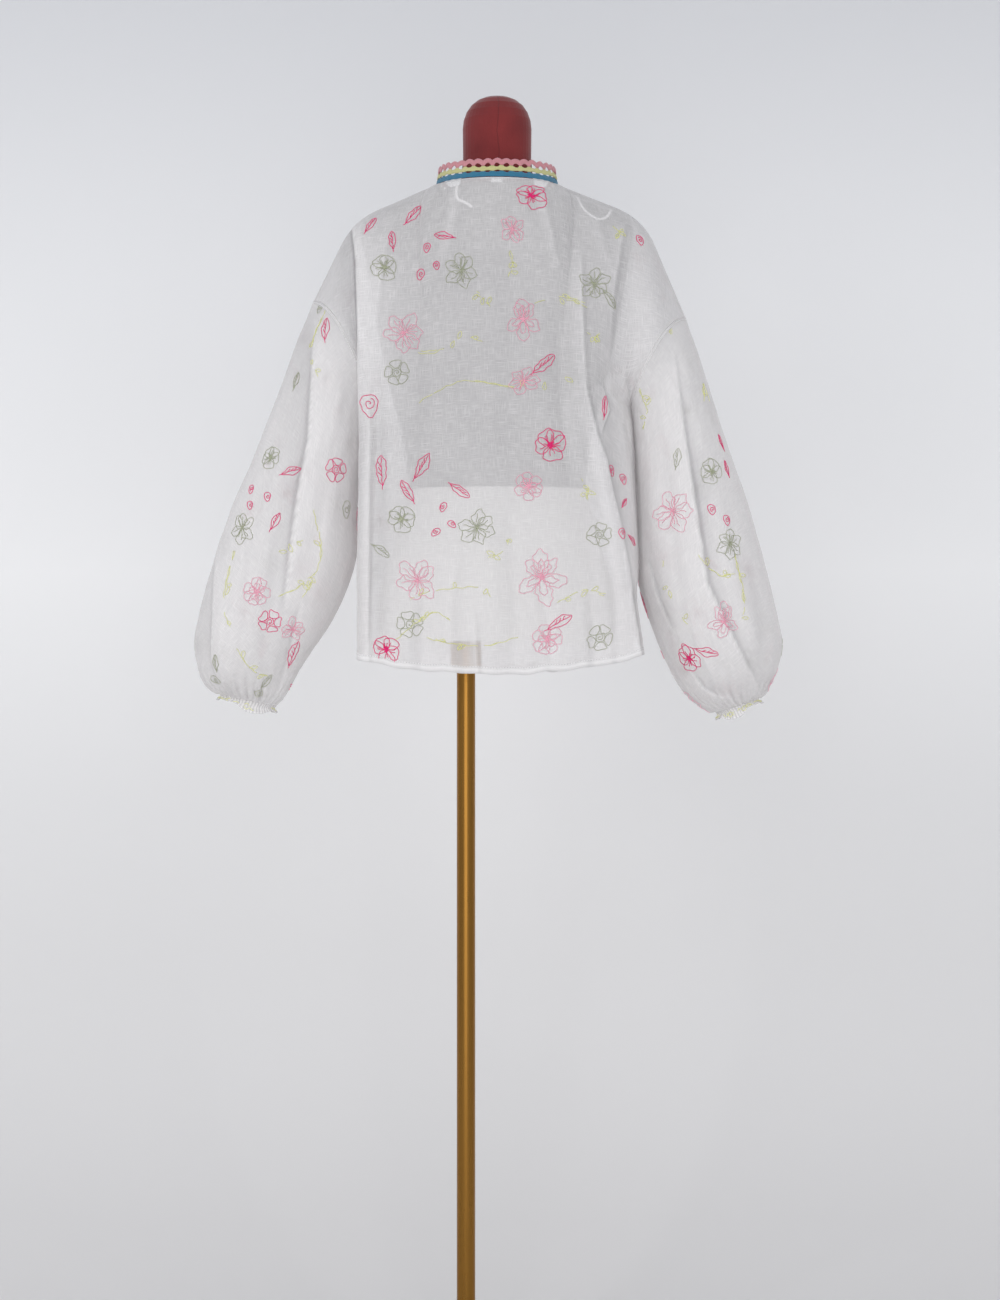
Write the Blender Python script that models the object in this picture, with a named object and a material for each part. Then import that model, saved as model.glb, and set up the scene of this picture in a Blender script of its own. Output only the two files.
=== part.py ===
# An embroidered blouse with dropped shoulders and balloon sleeves, worn by a limbless dress form
# on a brass pole. Lengths are millimetres and turn into metres where a mesh is made.
# The blouse shows its back to -Y, +X is to the right as seen from behind, and the floor is z = 0
# under the middle of the round base. Garment and form are measured from the torso's own axis.

import math

import bpy
import numpy as np

MM = 0.001
SEAM_GAP = 0.4
SEAM_STEP = 1.3
CLOTH = 1.2
TORSO_X = 42.0

# Stand
BASE_RADIUS = 150.0
BASE_HEIGHT = 14.0
BASE_BEVEL = 4.0
BASE_COLLAR_RADIUS = 24.0
BASE_COLLAR_HEIGHT = 46.0
POLE_RADIUS = 12.5
SOCKET_RADIUS = 21.0
SOCKET_HEIGHT = 40.0
ROUND_SIDES = 40

# Form
TORSO_BOTTOM = 985.0
NECK_BASE = 1597.0
NECK_HEIGHT = 123.0
NECK_HALF_WIDTH = 46.5
NECK_DOME = 44.0
FORM_SIDES = 44

# Shoulder line and neckline of the blouse
NECK_HALF = 81.0
NECK_SIDE_HEIGHT = 1598.5
NECK_BACK_DEPTH = 69.0
NECK_FRONT_DEPTH = 76.0
NECK_FRONT_DROP = 30.0
UNDERARM = 1300.0
HEM = 943.0
HEM_LIFT = 20.0
SLIT_LENGTH = 110.0
SLIT_WIDTH = 1.6

# Collar rows, each a band of crochet edging
COLLAR_ROW = 8.2
COLLAR_WALL = 1.5
COLLAR_ROWS = ("collar_braid_blue", "collar_braid_yellow", "collar_braid_pink")
COLLAR_LEAN = 1.2
COLLAR_FOOT = 0.5

# Mesh fineness of the cloth
PANEL_COLUMNS = 30
UPPER_ROWS = 12
LOWER_ROWS = 5
SLEEVE_ALONG = 16
NECK_SHARE = 1.0 / 3.0

CUFF_HEIGHT = 12.0
FOLD_RADIUS = 14.0
SEAM_RUN = 22.0

# Left and right ends of the shoulder seam: the tip over the form, then the armhole's top
SHOULDER_COLUMNS = ("tip_x", "tip_z", "armhole_x", "armhole_z")
SHOULDERS = {
    "left": (-194.0, 1553.5, -248.0, 1444.0),
    "right": (197.0, 1556.0, 255.0, 1421.0),
}

# Plan of the body at a few heights: where the side seams and the hanging folds stand
BODY_COLUMNS = (
    "height", "left_seam", "left_fold", "left_fold_y", "back_y", "right_fold", "right_fold_y",
    "right_seam", "front_left", "front_right", "front_fold_y", "front_y",
)
BODY_ROWS = (
    (1300.0, -166.0, -185.0, -86.0, -110.0, 127.0, -100.0, 178.0, -176.0, 176.0, 88.0, 130.0),
    (1200.0, -168.0, -185.0, -92.0, -112.0, 145.0, -100.0, 186.0, -180.0, 180.0, 92.0, 134.0),
    (1110.0, -170.0, -186.0, -98.0, -115.0, 163.0, -100.0, 187.0, -184.0, 184.0, 98.0, 138.0),
    (1030.0, -172.0, -186.0, -102.0, -119.0, 181.0, -100.0, 188.0, -187.0, 187.0, 104.0, 142.0),
    (943.0, -174.0, -185.0, -104.0, -122.0, 195.0, -98.0, 184.0, -190.0, 190.0, 108.0, 146.0),
)

# Rings of each sleeve from just under the armhole to the cuff, by their outer and inner points
SLEEVE_COLUMNS = ("outer_x", "outer_z", "inner_x", "inner_z", "half_depth", "middle_y")
SLEEVE_ROWS = {
    "left": (
        (-266.0, 1398.0, -173.0, 1272.0, 66.0, 0.0),
        (-283.0, 1352.0, -181.0, 1236.0, 68.0, 2.0),
        (-303.0, 1296.0, -188.0, 1196.0, 72.0, 4.0),
        (-331.0, 1225.0, -191.0, 1146.0, 78.0, 6.0),
        (-359.0, 1164.0, -192.0, 1100.0, 84.0, 8.0),
        (-388.0, 1078.0, -204.0, 1057.0, 88.0, 8.0),
        (-404.0, 1016.0, -226.0, 1010.0, 86.0, 8.0),
        (-409.0, 982.0, -249.0, 976.0, 78.0, 6.0),
        (-403.0, 946.0, -267.0, 948.0, 66.0, 5.0),
        (-393.0, 925.0, -279.0, 926.0, 52.0, 4.0),
        (-377.0, 909.0, -289.0, 908.0, 37.0, 3.0),
        (-361.0, 903.0, -299.0, 898.0, 27.0, 3.0),
    ),
    "right": (
        (266.0, 1388.0, 185.0, 1272.0, 66.0, 0.0),
        (282.0, 1340.0, 191.0, 1236.0, 68.0, 0.0),
        (298.0, 1290.0, 194.0, 1196.0, 72.0, 0.0),
        (318.0, 1228.0, 195.0, 1146.0, 78.0, 2.0),
        (340.0, 1162.0, 195.0, 1100.0, 84.0, 4.0),
        (362.0, 1084.0, 198.0, 1052.0, 88.0, 4.0),
        (379.0, 1016.0, 213.0, 1000.0, 86.0, 4.0),
        (385.0, 982.0, 229.0, 962.0, 80.0, 4.0),
        (379.0, 950.0, 243.0, 934.0, 68.0, 3.0),
        (370.0, 930.0, 257.0, 914.0, 54.0, 3.0),
        (362.0, 916.0, 276.0, 898.0, 38.0, 2.0),
        (353.0, 909.0, 296.0, 889.0, 27.0, 2.0),
    ),
}

# Small pieces sewn on the blouse
BUTTON_RADIUS = 5.0
BUTTON_FOOT = 0.5
BUTTON_THICKNESS = 2.2
SHANK_RADIUS = 1.5
SHANK_LENGTH = 2.4
LOOP_THREAD = 0.6
BUTTON_ACROSS = 0.022
BUTTON_DOWN = 0.05
LINING_STEP = 1.0
TAPE_WALL = 0.6
TAPE_WIDTH = 4.0
LABEL_ACROSS = (-0.023, 0.02)
LABEL_DOWN = (0.008, 0.042)

# Hanging tapes seen through the back, as shares across and down the back panel
PLACE_COLUMNS = ("across", "down")
TAPES = {
    "hanging_tape_left": (
        (-0.168, 0.015), (-0.158, 0.05), (-0.15, 0.085), (-0.14, 0.115), (-0.12, 0.14), (-0.098, 0.165),
    ),
    "hanging_tape_right": (
        (0.415, 0.02), (0.437, 0.065), (0.462, 0.115), (0.488, 0.16), (0.515, 0.175), (0.538, 0.15),
        (0.549, 0.1), (0.553, 0.05),
    ),
}

# Form below the shoulders: half width and depths at a few heights, with the plan's squareness
TORSO_COLUMNS = ("height", "half_width", "back", "front", "squareness")
TORSO_ROWS = (
    (985.0, 158.0, 97.0, 98.0, 2.2),
    (1040.0, 160.0, 100.0, 96.0, 2.2),
    (1120.0, 138.0, 90.0, 90.0, 2.2),
    (1200.0, 119.0, 80.0, 86.0, 2.2),
    (1270.0, 130.0, 86.0, 104.0, 2.2),
    (1330.0, 146.0, 93.0, 116.0, 2.2),
    (1400.0, 160.0, 98.0, 104.0, 2.2),
    (1460.0, 171.0, 94.0, 88.0, 2.1),
    (1510.0, 180.0, 86.0, 74.0, 1.9),
    (1538.0, 184.0, 78.0, 65.0, 1.65),
    (1554.0, 178.0, 72.0, 60.0, 1.45),
    (1567.0, 152.0, 67.0, 56.0, 1.4),
    (1579.0, 119.0, 62.0, 51.0, 1.5),
    (1588.0, 89.0, 57.0, 46.0, 1.75),
    (1594.0, 67.0, 53.0, 44.0, 2.0),
    (1596.7, 58.0, 50.0, 43.0, 2.0),
)


def clear_scene():
    for item in list(bpy.data.objects):
        bpy.data.objects.remove(item, do_unlink=True)


def material(name, colour, roughness, metallic=0.0):
    made = bpy.data.materials.new(name)
    made.use_nodes = True
    shader = made.node_tree.nodes["Principled BSDF"]
    shader.inputs["Base Color"].default_value = (*colour, 1.0)
    shader.inputs["Roughness"].default_value = roughness
    shader.inputs["Metallic"].default_value = metallic
    return made


def add_object(name, points, faces, finish, offset_x=TORSO_X):
    # Points are millimetres from the torso's axis and the floor
    world = (np.asarray(points, float) + np.array([offset_x, 0.0, 0.0])) * MM
    mesh = bpy.data.meshes.new(name)
    mesh.from_pydata(world.tolist(), [], faces)
    mesh.update()
    mesh.shade_smooth()
    made = bpy.data.objects.new(name, mesh)
    made.data.materials.append(finish)
    bpy.context.scene.collection.objects.link(made)
    return made


def point_normals(points, faces):
    # Each quad's normal, shared out to its corners
    quads = np.array(faces)
    corner = points[quads]
    facing = np.cross(corner[:, 2] - corner[:, 0], corner[:, 3] - corner[:, 1])
    normals = np.zeros_like(points)
    for place in range(4):
        np.add.at(normals, quads[:, place], facing)
    return normals / np.linalg.norm(normals, axis=1)[:, None]


def add_wall(name, points, faces, finish, wall, normals=None):
    # A wall from the drawn outer face inwards, with a rim along every open edge
    points = np.asarray(points, float)
    if normals is None:
        normals = point_normals(points, faces)
    count = len(points)
    both = np.vstack([points, points - normals * wall])
    inner = [tuple(corner + count for corner in face[::-1]) for face in faces]
    edges = {(face[i], face[(i + 1) % 4]) for face in faces for i in range(4)}
    rim = [(b, a, a + count, b + count) for a, b in sorted(edges) if (b, a) not in edges]
    return add_object(name, both, list(faces) + inner + rim, finish)


def smooth_column(values, position):
    # Uniform Catmull-Rom through the rows of a table, along its first axis
    values = np.asarray(values, float)
    last = len(values) - 1
    position = np.clip(np.asarray(position, float), 0.0, last)
    start = np.minimum(position.astype(int), last - 1)
    part = (position - start).reshape((-1,) + (1,) * (values.ndim - 1))
    before = values[np.maximum(start - 1, 0)]
    first, second = values[start], values[start + 1]
    after = values[np.minimum(start + 2, last)]
    slope_in = 0.5 * (second - before)
    slope_out = 0.5 * (after - first)
    return hermite(first, slope_in, second, slope_out, part)


def hermite(first, slope_in, second, slope_out, part):
    square, cube = part ** 2, part ** 3
    return ((2 * cube - 3 * square + 1) * first + (cube - 2 * square + part) * slope_in
            + (3 * square - 2 * cube) * second + (cube - square) * slope_out)


def table_at(rows, columns, height):
    # One named value for each column, at a height between the rows
    rows = np.asarray(rows, float)
    order = np.argsort(rows[:, 0])
    position = np.interp(height, rows[order, 0], np.arange(len(rows)))
    values = smooth_column(rows[order], [position])[0]
    return dict(zip(columns, values))


def rounded_path(corners, radius, steps=6):
    # Straight runs joined by short parabolas that start and end a radius from each corner
    corners = np.asarray(corners, float)
    path = [corners[0]]
    for before, corner, after in zip(corners[:-2], corners[1:-1], corners[2:]):
        reach_in = min(radius, 0.45 * np.linalg.norm(corner - before))
        reach_out = min(radius, 0.45 * np.linalg.norm(after - corner))
        start = corner + (before - corner) / np.linalg.norm(before - corner) * reach_in
        end = corner + (after - corner) / np.linalg.norm(after - corner) * reach_out
        for part in np.linspace(0.0, 1.0, steps):
            path.append((1 - part) ** 2 * start + 2 * part * (1 - part) * corner + part ** 2 * end)
    path.append(corners[-1])
    return np.array(path)


def along(path, share):
    # Points at a share of the path's length
    path = np.asarray(path, float)
    length = np.concatenate(([0.0], np.cumsum(np.linalg.norm(np.diff(path, axis=0), axis=1))))
    target = np.asarray(share, float) * length[-1]
    return np.stack([np.interp(target, length, path[:, axis]) for axis in range(3)], axis=-1)


def across_halves(left_path, right_path, across):
    # Across runs from -1 at the left edge, through 0 at the middle, to 1 at the right edge
    across = np.asarray(across, float)
    left = along(left_path, 1.0 + np.minimum(across, 0.0))
    right = along(right_path, np.maximum(across, 0.0))
    return np.where((across < 0.0)[:, None], left, right)


def neck_curve(side, start, end, steps=25):
    # Quarter ellipses of the neckline, from one angle to another, with 0 at the middle
    angle = np.linspace(start, end, steps)
    sign, depth, drop = (-1.0, NECK_BACK_DEPTH, 0.0)
    if side == "front":
        sign, depth, drop = (1.0, NECK_FRONT_DEPTH, NECK_FRONT_DROP)
    return np.stack([
        NECK_HALF * np.sin(angle),
        sign * (depth * np.cos(angle) + 0.5 * SEAM_GAP),
        NECK_SIDE_HEIGHT - drop * np.cos(angle),
    ], axis=-1)


def shoulder_run(side, hand):
    # Shoulder seam from the neck to the armhole, bent softly over the form's tip
    values = dict(zip(SHOULDER_COLUMNS, SHOULDERS[hand]))
    y = -0.5 * SEAM_GAP if side == "back" else 0.5 * SEAM_GAP
    neck_x = math.copysign(NECK_HALF, values["tip_x"])
    corners = [
        (neck_x, y, NECK_SIDE_HEIGHT),
        (values["tip_x"], y, values["tip_z"]),
        (values["armhole_x"], y, values["armhole_z"]),
    ]
    return rounded_path(corners, 42.0, 9)


def top_edge(side, across):
    # The neckline takes a fixed share of the top edge, and the shoulder seams the rest
    across = np.asarray(across, float)
    quarter = 0.5 * math.pi
    share = np.abs(across)
    neck = along(neck_curve(side, 0.0, quarter), np.minimum(share / NECK_SHARE, 1.0))
    neck[:, 0] *= np.sign(across)
    out = np.clip((share - NECK_SHARE) / (1.0 - NECK_SHARE), 0.0, 1.0)
    left, right = (along(shoulder_run(side, hand), out) for hand in ("left", "right"))
    shoulder = np.where((across < 0.0)[:, None], left, right)
    return np.where((share <= NECK_SHARE + 1e-9)[:, None], neck, shoulder)


def body_section(side, height, across):
    plan = table_at(BODY_ROWS, BODY_COLUMNS, height)
    sign = -1.0 if side == "back" else 1.0
    if side == "back":
        left_fold = (plan["left_fold"], plan["left_fold_y"], height)
        right_fold = (plan["right_fold"], plan["right_fold_y"], height)
        middle = (0.0, plan["back_y"], height)
    else:
        left_fold = (plan["front_left"], plan["front_fold_y"], height)
        right_fold = (plan["front_right"], plan["front_fold_y"], height)
        middle = (0.0, plan["front_y"], height)
    left_seam = (plan["left_seam"], 0.5 * sign * SEAM_GAP, height)
    right_seam = (plan["right_seam"], 0.5 * sign * SEAM_GAP, height)
    left_run = (plan["left_seam"], sign * SEAM_RUN, height)
    right_run = (plan["right_seam"], sign * SEAM_RUN, height)
    corners = [left_seam, left_run, left_fold, middle, right_fold, right_run, right_seam]
    whole = rounded_path(corners, FOLD_RADIUS)
    middle_index = int(np.argmin(np.abs(whole[:, 0])))
    return across_halves(whole[:middle_index + 1], whole[middle_index:], across)


def edge_weight(across):
    # 0 over most of the panel, rising to 1 at the armhole
    return np.clip((np.abs(across) - 0.66) / 0.34, 0.0, 1.0) ** 1.5


def neck_weight(across):
    # 1 at the middle of the neck, falling to 0 where the shoulder seam starts
    return 0.5 + 0.5 * np.cos(math.pi * np.clip(np.abs(across) / 0.36, 0.0, 1.0))


def panel_grid(side, across, down):
    # Down runs from 0 at the shoulder seam to 1 at the underarm and 2 at the hem
    across = np.asarray(across, float)
    down = np.asarray(down, float)
    sign = -1.0 if side == "back" else 1.0
    top = top_edge(side, across)
    under = body_section(side, UNDERARM, across)
    armhole = edge_weight(across)
    neck = neck_weight(across)
    hand = np.sign(across)
    plain = np.clip(1.0 - armhole - neck, 0.0, 1.0)
    leave_y = sign * (280.0 * plain + 110.0 * neck + 300.0 * armhole)
    leave_z = -(16.0 * plain + 150.0 * neck + 20.0 * armhole)
    corner = np.exp(-((np.abs(across) - NECK_SHARE) / 0.15) ** 2)
    leave_x = hand * (130.0 * corner - 120.0 * armhole)
    arrive_y = -sign * 300.0 * armhole
    arrive_z = -(270.0 * (1.0 - armhole) + 40.0 * armhole)
    leave = np.stack([leave_x, leave_y, leave_z], axis=-1)
    arrive = np.stack([np.zeros_like(across), arrive_y, arrive_z], axis=-1)
    rows = []
    for step in down:
        if step <= 1.0:
            rows.append(hermite(top, leave, under, arrive, step))
            continue
        part = step - 1.0
        row = body_section(side, UNDERARM + (HEM - UNDERARM) * part, across)
        row[:, 2] += HEM_LIFT * part ** 2 * np.abs(across) ** 2.5
        rows.append(row)
    return np.array(rows)


def grid_faces(rows, columns, closed=False, flip=False):
    # Quads of a grid whose rows run down and whose columns run across
    faces = []
    width = columns if closed else columns + 1
    for row in range(rows):
        for column in range(columns):
            here = row * width + column
            beside = row * width + (column + 1) % width
            quad = (here, beside, beside + width, here + width)
            faces.append(quad[::-1] if flip else quad)
    return faces


def panel_across():
    return np.linspace(-1.0, 1.0, PANEL_COLUMNS + 1)


def panel_downs():
    upper = np.linspace(0.0, 1.0, UPPER_ROWS + 1) ** 1.15
    lower = np.linspace(1.0, 2.0, LOWER_ROWS + 1)[1:]
    return np.concatenate([upper, lower])


def seam_normals(points, faces, across, downs):
    # Along the shoulder and side seams the wall's edge stands square to its neighbour
    normals = point_normals(points, faces)
    columns = len(across)
    place = np.arange(len(downs) * columns)
    row, column = place // columns, place % columns
    shoulder = (row == 0) & (np.abs(across[column]) > 0.3)
    side = ((column == 0) | (column == columns - 1)) & (downs[row] >= 1.0)
    square = np.flatnonzero(shoulder | side)
    normals[square, 1] = 0.0
    return normals / np.linalg.norm(normals, axis=1)[:, None]


def make_back(finish):
    across, downs = panel_across(), panel_downs()
    points = panel_grid("back", across, downs).reshape(-1, 3)
    faces = grid_faces(len(downs) - 1, PANEL_COLUMNS, flip=True)
    normals = seam_normals(points, faces, across, downs)
    return add_wall("back_panel", points, faces, finish, CLOTH, normals)


def make_front(finish):
    # The centre column is doubled down to the foot of the neck slit
    across, downs = panel_across(), panel_downs()
    grid = panel_grid("front", across, downs)
    points = grid.reshape(-1, 3)
    faces = grid_faces(len(downs) - 1, PANEL_COLUMNS)
    normals = seam_normals(points, faces, across, downs)
    width, middle = PANEL_COLUMNS + 1, PANEL_COLUMNS // 2
    fall = np.linalg.norm(np.diff(grid[:, middle], axis=0), axis=1).cumsum()
    slit = np.arange(int(np.searchsorted(fall, SLIT_LENGTH)) + 1) * width + middle
    doubles = {index: len(points) + order for order, index in enumerate(slit)}
    half_slit = np.array([0.5 * SLIT_WIDTH, 0.0, 0.0])
    extra = points[slit] + half_slit
    points[slit] -= half_slit
    parted = []
    for face in faces:
        right_of_slit = min(corner % width for corner in face) >= middle
        parted.append(tuple(doubles.get(c, c) for c in face) if right_of_slit else face)
    points, normals = np.vstack([points, extra]), np.vstack([normals, normals[slit]])
    return add_wall("front_panel", points, parted, finish, CLOTH, normals)


def armhole_loop(hand):
    # The panels' own edge points, from the shoulder down the back and up the front
    edge = -1.0 if hand == "left" else 1.0
    down = panel_downs()[:UPPER_ROWS + 1]
    back = panel_grid("back", [edge], down)[:, 0]
    front = panel_grid("front", [edge], down)[:, 0]
    loop = np.vstack([back, front[-2:0:-1]])
    loop[0, 1] = loop[UPPER_ROWS, 1] = 0.0
    return loop


def sleeve_ring(row, around):
    values = dict(zip(SLEEVE_COLUMNS, row))
    angle = 2.0 * math.pi * np.asarray(around, float)
    outer = np.array([values["outer_x"], values["middle_y"], values["outer_z"]])
    inner = np.array([values["inner_x"], values["middle_y"], values["inner_z"]])
    middle, reach = 0.5 * (outer + inner), 0.5 * (outer - inner)
    depth = np.array([0.0, -values["half_depth"], 0.0])
    return middle + np.cos(angle)[:, None] * reach + np.sin(angle)[:, None] * depth


def sleeve_grid(hand, along_sleeve):
    # Every lengthwise line is one smooth curve through the armhole loop and the rings
    outwards = np.array([-1.0 if hand == "left" else 1.0, 0.0, 0.0])
    loop = armhole_loop(hand)
    rings = [sleeve_ring(row, sleeve_around()) for row in SLEEVE_ROWS[hand]]
    flow = rings[0] - loop
    flow /= np.linalg.norm(flow, axis=1)[:, None]
    step = 0.6 * flow + 0.8 * outwards
    first = loop + SEAM_STEP * step / np.linalg.norm(step, axis=1)[:, None]
    place = np.asarray(along_sleeve, float) * len(rings)
    return smooth_column(np.array([first] + rings), place)


def sleeve_around():
    return np.arange(2 * UPPER_ROWS) / (2.0 * UPPER_ROWS)


def make_sleeve(hand, finish):
    grid = sleeve_grid(hand, np.linspace(0.0, 1.0, SLEEVE_ALONG + 1))
    faces = grid_faces(SLEEVE_ALONG, 2 * UPPER_ROWS, closed=True, flip=(hand == "left"))
    return add_wall("sleeve_" + hand, grid.reshape(-1, 3), faces, finish, CLOTH)


def make_cuff(hand, finish):
    # A narrow band that carries on from the sleeve's last ring
    last = sleeve_ring(SLEEVE_ROWS[hand][-1], sleeve_around())
    values = dict(zip(SLEEVE_COLUMNS, SLEEVE_ROWS[hand][-1]))
    slope = np.array([values["outer_x"] - values["inner_x"], 0.0,
                      values["outer_z"] - values["inner_z"]])
    slope /= np.linalg.norm(slope)
    fall = np.array([slope[2], 0.0, -slope[0]])
    fall *= -math.copysign(1.0, fall[2])
    rings = [last + fall * SEAM_GAP, last + fall * (SEAM_GAP + CUFF_HEIGHT)]
    points = np.array(rings).reshape(-1, 3)
    faces = grid_faces(1, 2 * UPPER_ROWS, closed=True, flip=(hand == "left"))
    return add_wall("cuff_" + hand, points, faces, finish, CLOTH)


def neck_ring():
    # The panels' own neckline points, once round from one side of the slit to the other
    across = panel_across()
    inside = across[np.abs(across) <= NECK_SHARE + 1e-9]
    back = top_edge("back", inside)
    front = top_edge("front", inside)
    middle = len(inside) // 2
    ring = np.vstack([front[middle:0:-1], back, front[-2:middle - 1:-1]])
    ring[0, 0] -= 0.5 * SLIT_WIDTH
    ring[-1, 0] += 0.5 * SLIT_WIDTH
    return ring


def make_collar_row(order, name, finish):
    # Each row stands on the one below and leans in a little towards the neck
    foot = neck_ring()
    outwards = foot * np.array([1.0, 1.0, 0.0])
    outwards /= np.linalg.norm(outwards, axis=1)[:, None]
    rings = []
    for edge in (0, 1):
        rise = COLLAR_FOOT + order * (COLLAR_ROW + SEAM_GAP) + edge * COLLAR_ROW
        lean = COLLAR_LEAN * rise / COLLAR_ROW
        rings.append(foot - outwards * lean + np.array([0.0, 0.0, rise]))
    points = np.array(rings[::-1]).reshape(-1, 3)
    faces = grid_faces(1, len(foot) - 1)
    return add_wall(name, points, faces, finish, COLLAR_WALL)


def faceted_point(grid, across, down):
    # Bilinear place on the panel's own facets
    downs, columns = panel_downs(), panel_across()
    row = np.interp(down, downs, np.arange(len(downs)))
    column = np.interp(across, columns, np.arange(len(columns)))
    top, left = min(int(row), len(downs) - 2), min(int(column), len(columns) - 2)
    low, side = row - top, column - left
    upper = (1 - side) * grid[top, left] + side * grid[top, left + 1]
    lower = (1 - side) * grid[top + 1, left] + side * grid[top + 1, left + 1]
    return (1 - low) * upper + low * lower


def panel_frames(side, places):
    # Point, outward normal and downward direction of a panel at a few (across, down) places
    step = 0.004
    sign = 1.0 if side == "back" else -1.0
    grid = panel_grid(side, panel_across(), panel_downs())
    frames = []
    for place in places:
        values = dict(zip(PLACE_COLUMNS, place))
        across, down = values["across"], values["down"]
        point = faceted_point(grid, across, down)
        sideways = faceted_point(grid, across + step, down) - faceted_point(grid, across - step, down)
        downwards = faceted_point(grid, across, down + step) - point
        normal = sign * np.cross(downwards, sideways)
        frames.append((point, normal / np.linalg.norm(normal), downwards / np.linalg.norm(downwards)))
    return frames


def make_label(finish):
    # A blank tab on the wrong side of the back, just under the neckline
    across = np.linspace(*LABEL_ACROSS, 4)
    down = np.linspace(*LABEL_DOWN, 3)
    places = [(a, d) for d in down for a in across]
    frames = panel_frames("back", places)
    points = [point - normal * (CLOTH + LINING_STEP) for point, normal, _ in frames]
    faces = grid_faces(len(down) - 1, len(across) - 1, flip=True)
    return add_wall("neck_label", points, faces, finish, TAPE_WALL)


def make_tape(name, finish):
    # A narrow ribbon that follows its own line on the wrong side of the back
    frames = panel_frames("back", TAPES[name])
    middle = np.array([point - normal * (CLOTH + LINING_STEP) for point, normal, _ in frames])
    normals = np.array([normal for _, normal, _ in frames])
    heading = np.gradient(middle, axis=0)
    heading /= np.linalg.norm(heading, axis=1)[:, None]
    beside = np.cross(normals, heading) * 0.5 * TAPE_WIDTH
    points = np.stack([middle - beside, middle + beside], axis=1).reshape(-1, 3)
    faces = grid_faces(len(middle) - 1, 1, flip=True)
    return add_wall(name, points, faces, finish, TAPE_WALL)


def make_button(finish):
    # A flat disc on a short shank, turned about the front panel's normal
    point, normal, down = panel_frames("front", [(BUTTON_ACROSS, BUTTON_DOWN)])[0]
    sideways = np.cross(normal, down)
    foot = BUTTON_FOOT
    head = foot + SHANK_LENGTH
    top = head + BUTTON_THICKNESS
    profile = [(SHANK_RADIUS, foot), (SHANK_RADIUS, head), (BUTTON_RADIUS - 0.5, head),
               (BUTTON_RADIUS, head + 0.6), (BUTTON_RADIUS, top - 0.6), (BUTTON_RADIUS - 0.8, top)]
    turn = 2.0 * math.pi * np.arange(20) / 20.0
    rings = []
    for radius, height in profile:
        spokes = np.cos(turn)[:, None] * sideways + np.sin(turn)[:, None] * down
        rings.append(point + normal * height + radius * spokes)
    made = capped_loft("neck_button", rings, finish)
    made.data.flip_normals()
    return made


def make_button_loop(finish):
    # A thread loop from the slit's other edge round the button's shank
    point, normal, down = panel_frames("front", [(BUTTON_ACROSS, BUTTON_DOWN)])[0]
    sideways = np.cross(normal, down)
    if sideways[0] < 0.0:
        sideways = -sideways
    height = BUTTON_FOOT + LOOP_THREAD + 0.5
    reach = SHANK_RADIUS + LOOP_THREAD + 0.4
    ends = -12.0
    path = [(ends, -1.6), (ends * 0.6, -1.9)]
    for angle in np.radians(np.arange(-90.0, 91.0, 30.0)):
        path.append((reach * math.cos(angle), reach * math.sin(angle)))
    path += [(ends * 0.6, 1.9), (ends, 1.6)]
    curve = bpy.data.curves.new("button_loop", "CURVE")
    curve.dimensions = "3D"
    curve.bevel_depth = LOOP_THREAD * MM
    curve.bevel_resolution = 2
    curve.use_fill_caps = True
    spline = curve.splines.new("POLY")
    spline.points.add(len(path) - 1)
    for slot, (x, y) in zip(spline.points, path):
        place = point + normal * height + sideways * x + down * y
        slot.co = ((place[0] + TORSO_X) * MM, place[1] * MM, place[2] * MM, 1.0)
    made = bpy.data.objects.new("button_loop", curve)
    curve.materials.append(finish)
    bpy.context.scene.collection.objects.link(made)
    return made


def torso_section(height, turn):
    values = table_at(TORSO_ROWS, TORSO_COLUMNS, height)
    power = 2.0 / values["squareness"]
    cosine, sine = np.cos(turn), np.sin(turn)
    x = values["half_width"] * np.sign(cosine) * np.abs(cosine) ** power
    depth = np.where(sine < 0.0, values["back"], values["front"])
    y = depth * np.sign(sine) * np.abs(sine) ** power
    return np.stack([x, y, np.full_like(x, height)], axis=-1)


def capped_loft(name, rings, finish, offset_x=TORSO_X):
    # Closed rings one above another, with a flat face at each end
    count, sides = len(rings), len(rings[0])
    faces = grid_faces(count - 1, sides, closed=True)
    faces.append(tuple(range(sides))[::-1])
    faces.append(tuple(range((count - 1) * sides, count * sides)))
    return add_object(name, np.array(rings).reshape(-1, 3), faces, finish, offset_x)


def make_torso(finish):
    turn = 2.0 * math.pi * np.arange(FORM_SIDES) / FORM_SIDES
    lower = np.linspace(TORSO_BOTTOM, 1500.0, 15)[:-1]
    upper = np.array([row[0] for row in TORSO_ROWS if row[0] > 1500.0])
    between = 0.5 * (upper[1:] + upper[:-1])
    heights = np.sort(np.concatenate([lower, [1490.0], upper, between]))
    return capped_loft("form_torso", [torso_section(height, turn) for height in heights], finish)


def make_neck(finish):
    # A waisted column with a domed top
    turn = 2.0 * math.pi * np.arange(FORM_SIDES) / FORM_SIDES
    top = NECK_BASE + NECK_HEIGHT
    shoulder = top - NECK_DOME
    profile = [(52.0, NECK_BASE), (50.0, NECK_BASE + 6.0), (48.0, NECK_BASE + 16.0)]
    profile += [(NECK_HALF_WIDTH - 0.5, NECK_BASE + 40.0), (NECK_HALF_WIDTH, shoulder)]
    for angle in np.radians((15.0, 30.0, 45.0, 60.0, 72.0, 82.0)):
        profile.append((NECK_HALF_WIDTH * math.cos(angle) ** 0.8, shoulder + NECK_DOME * math.sin(angle)))
    rings = [np.stack([radius * np.cos(turn), radius * 0.94 * np.sin(turn),
                       np.full_like(turn, height)], axis=-1) for radius, height in profile]
    return capped_loft("form_neck", rings, finish)


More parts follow.
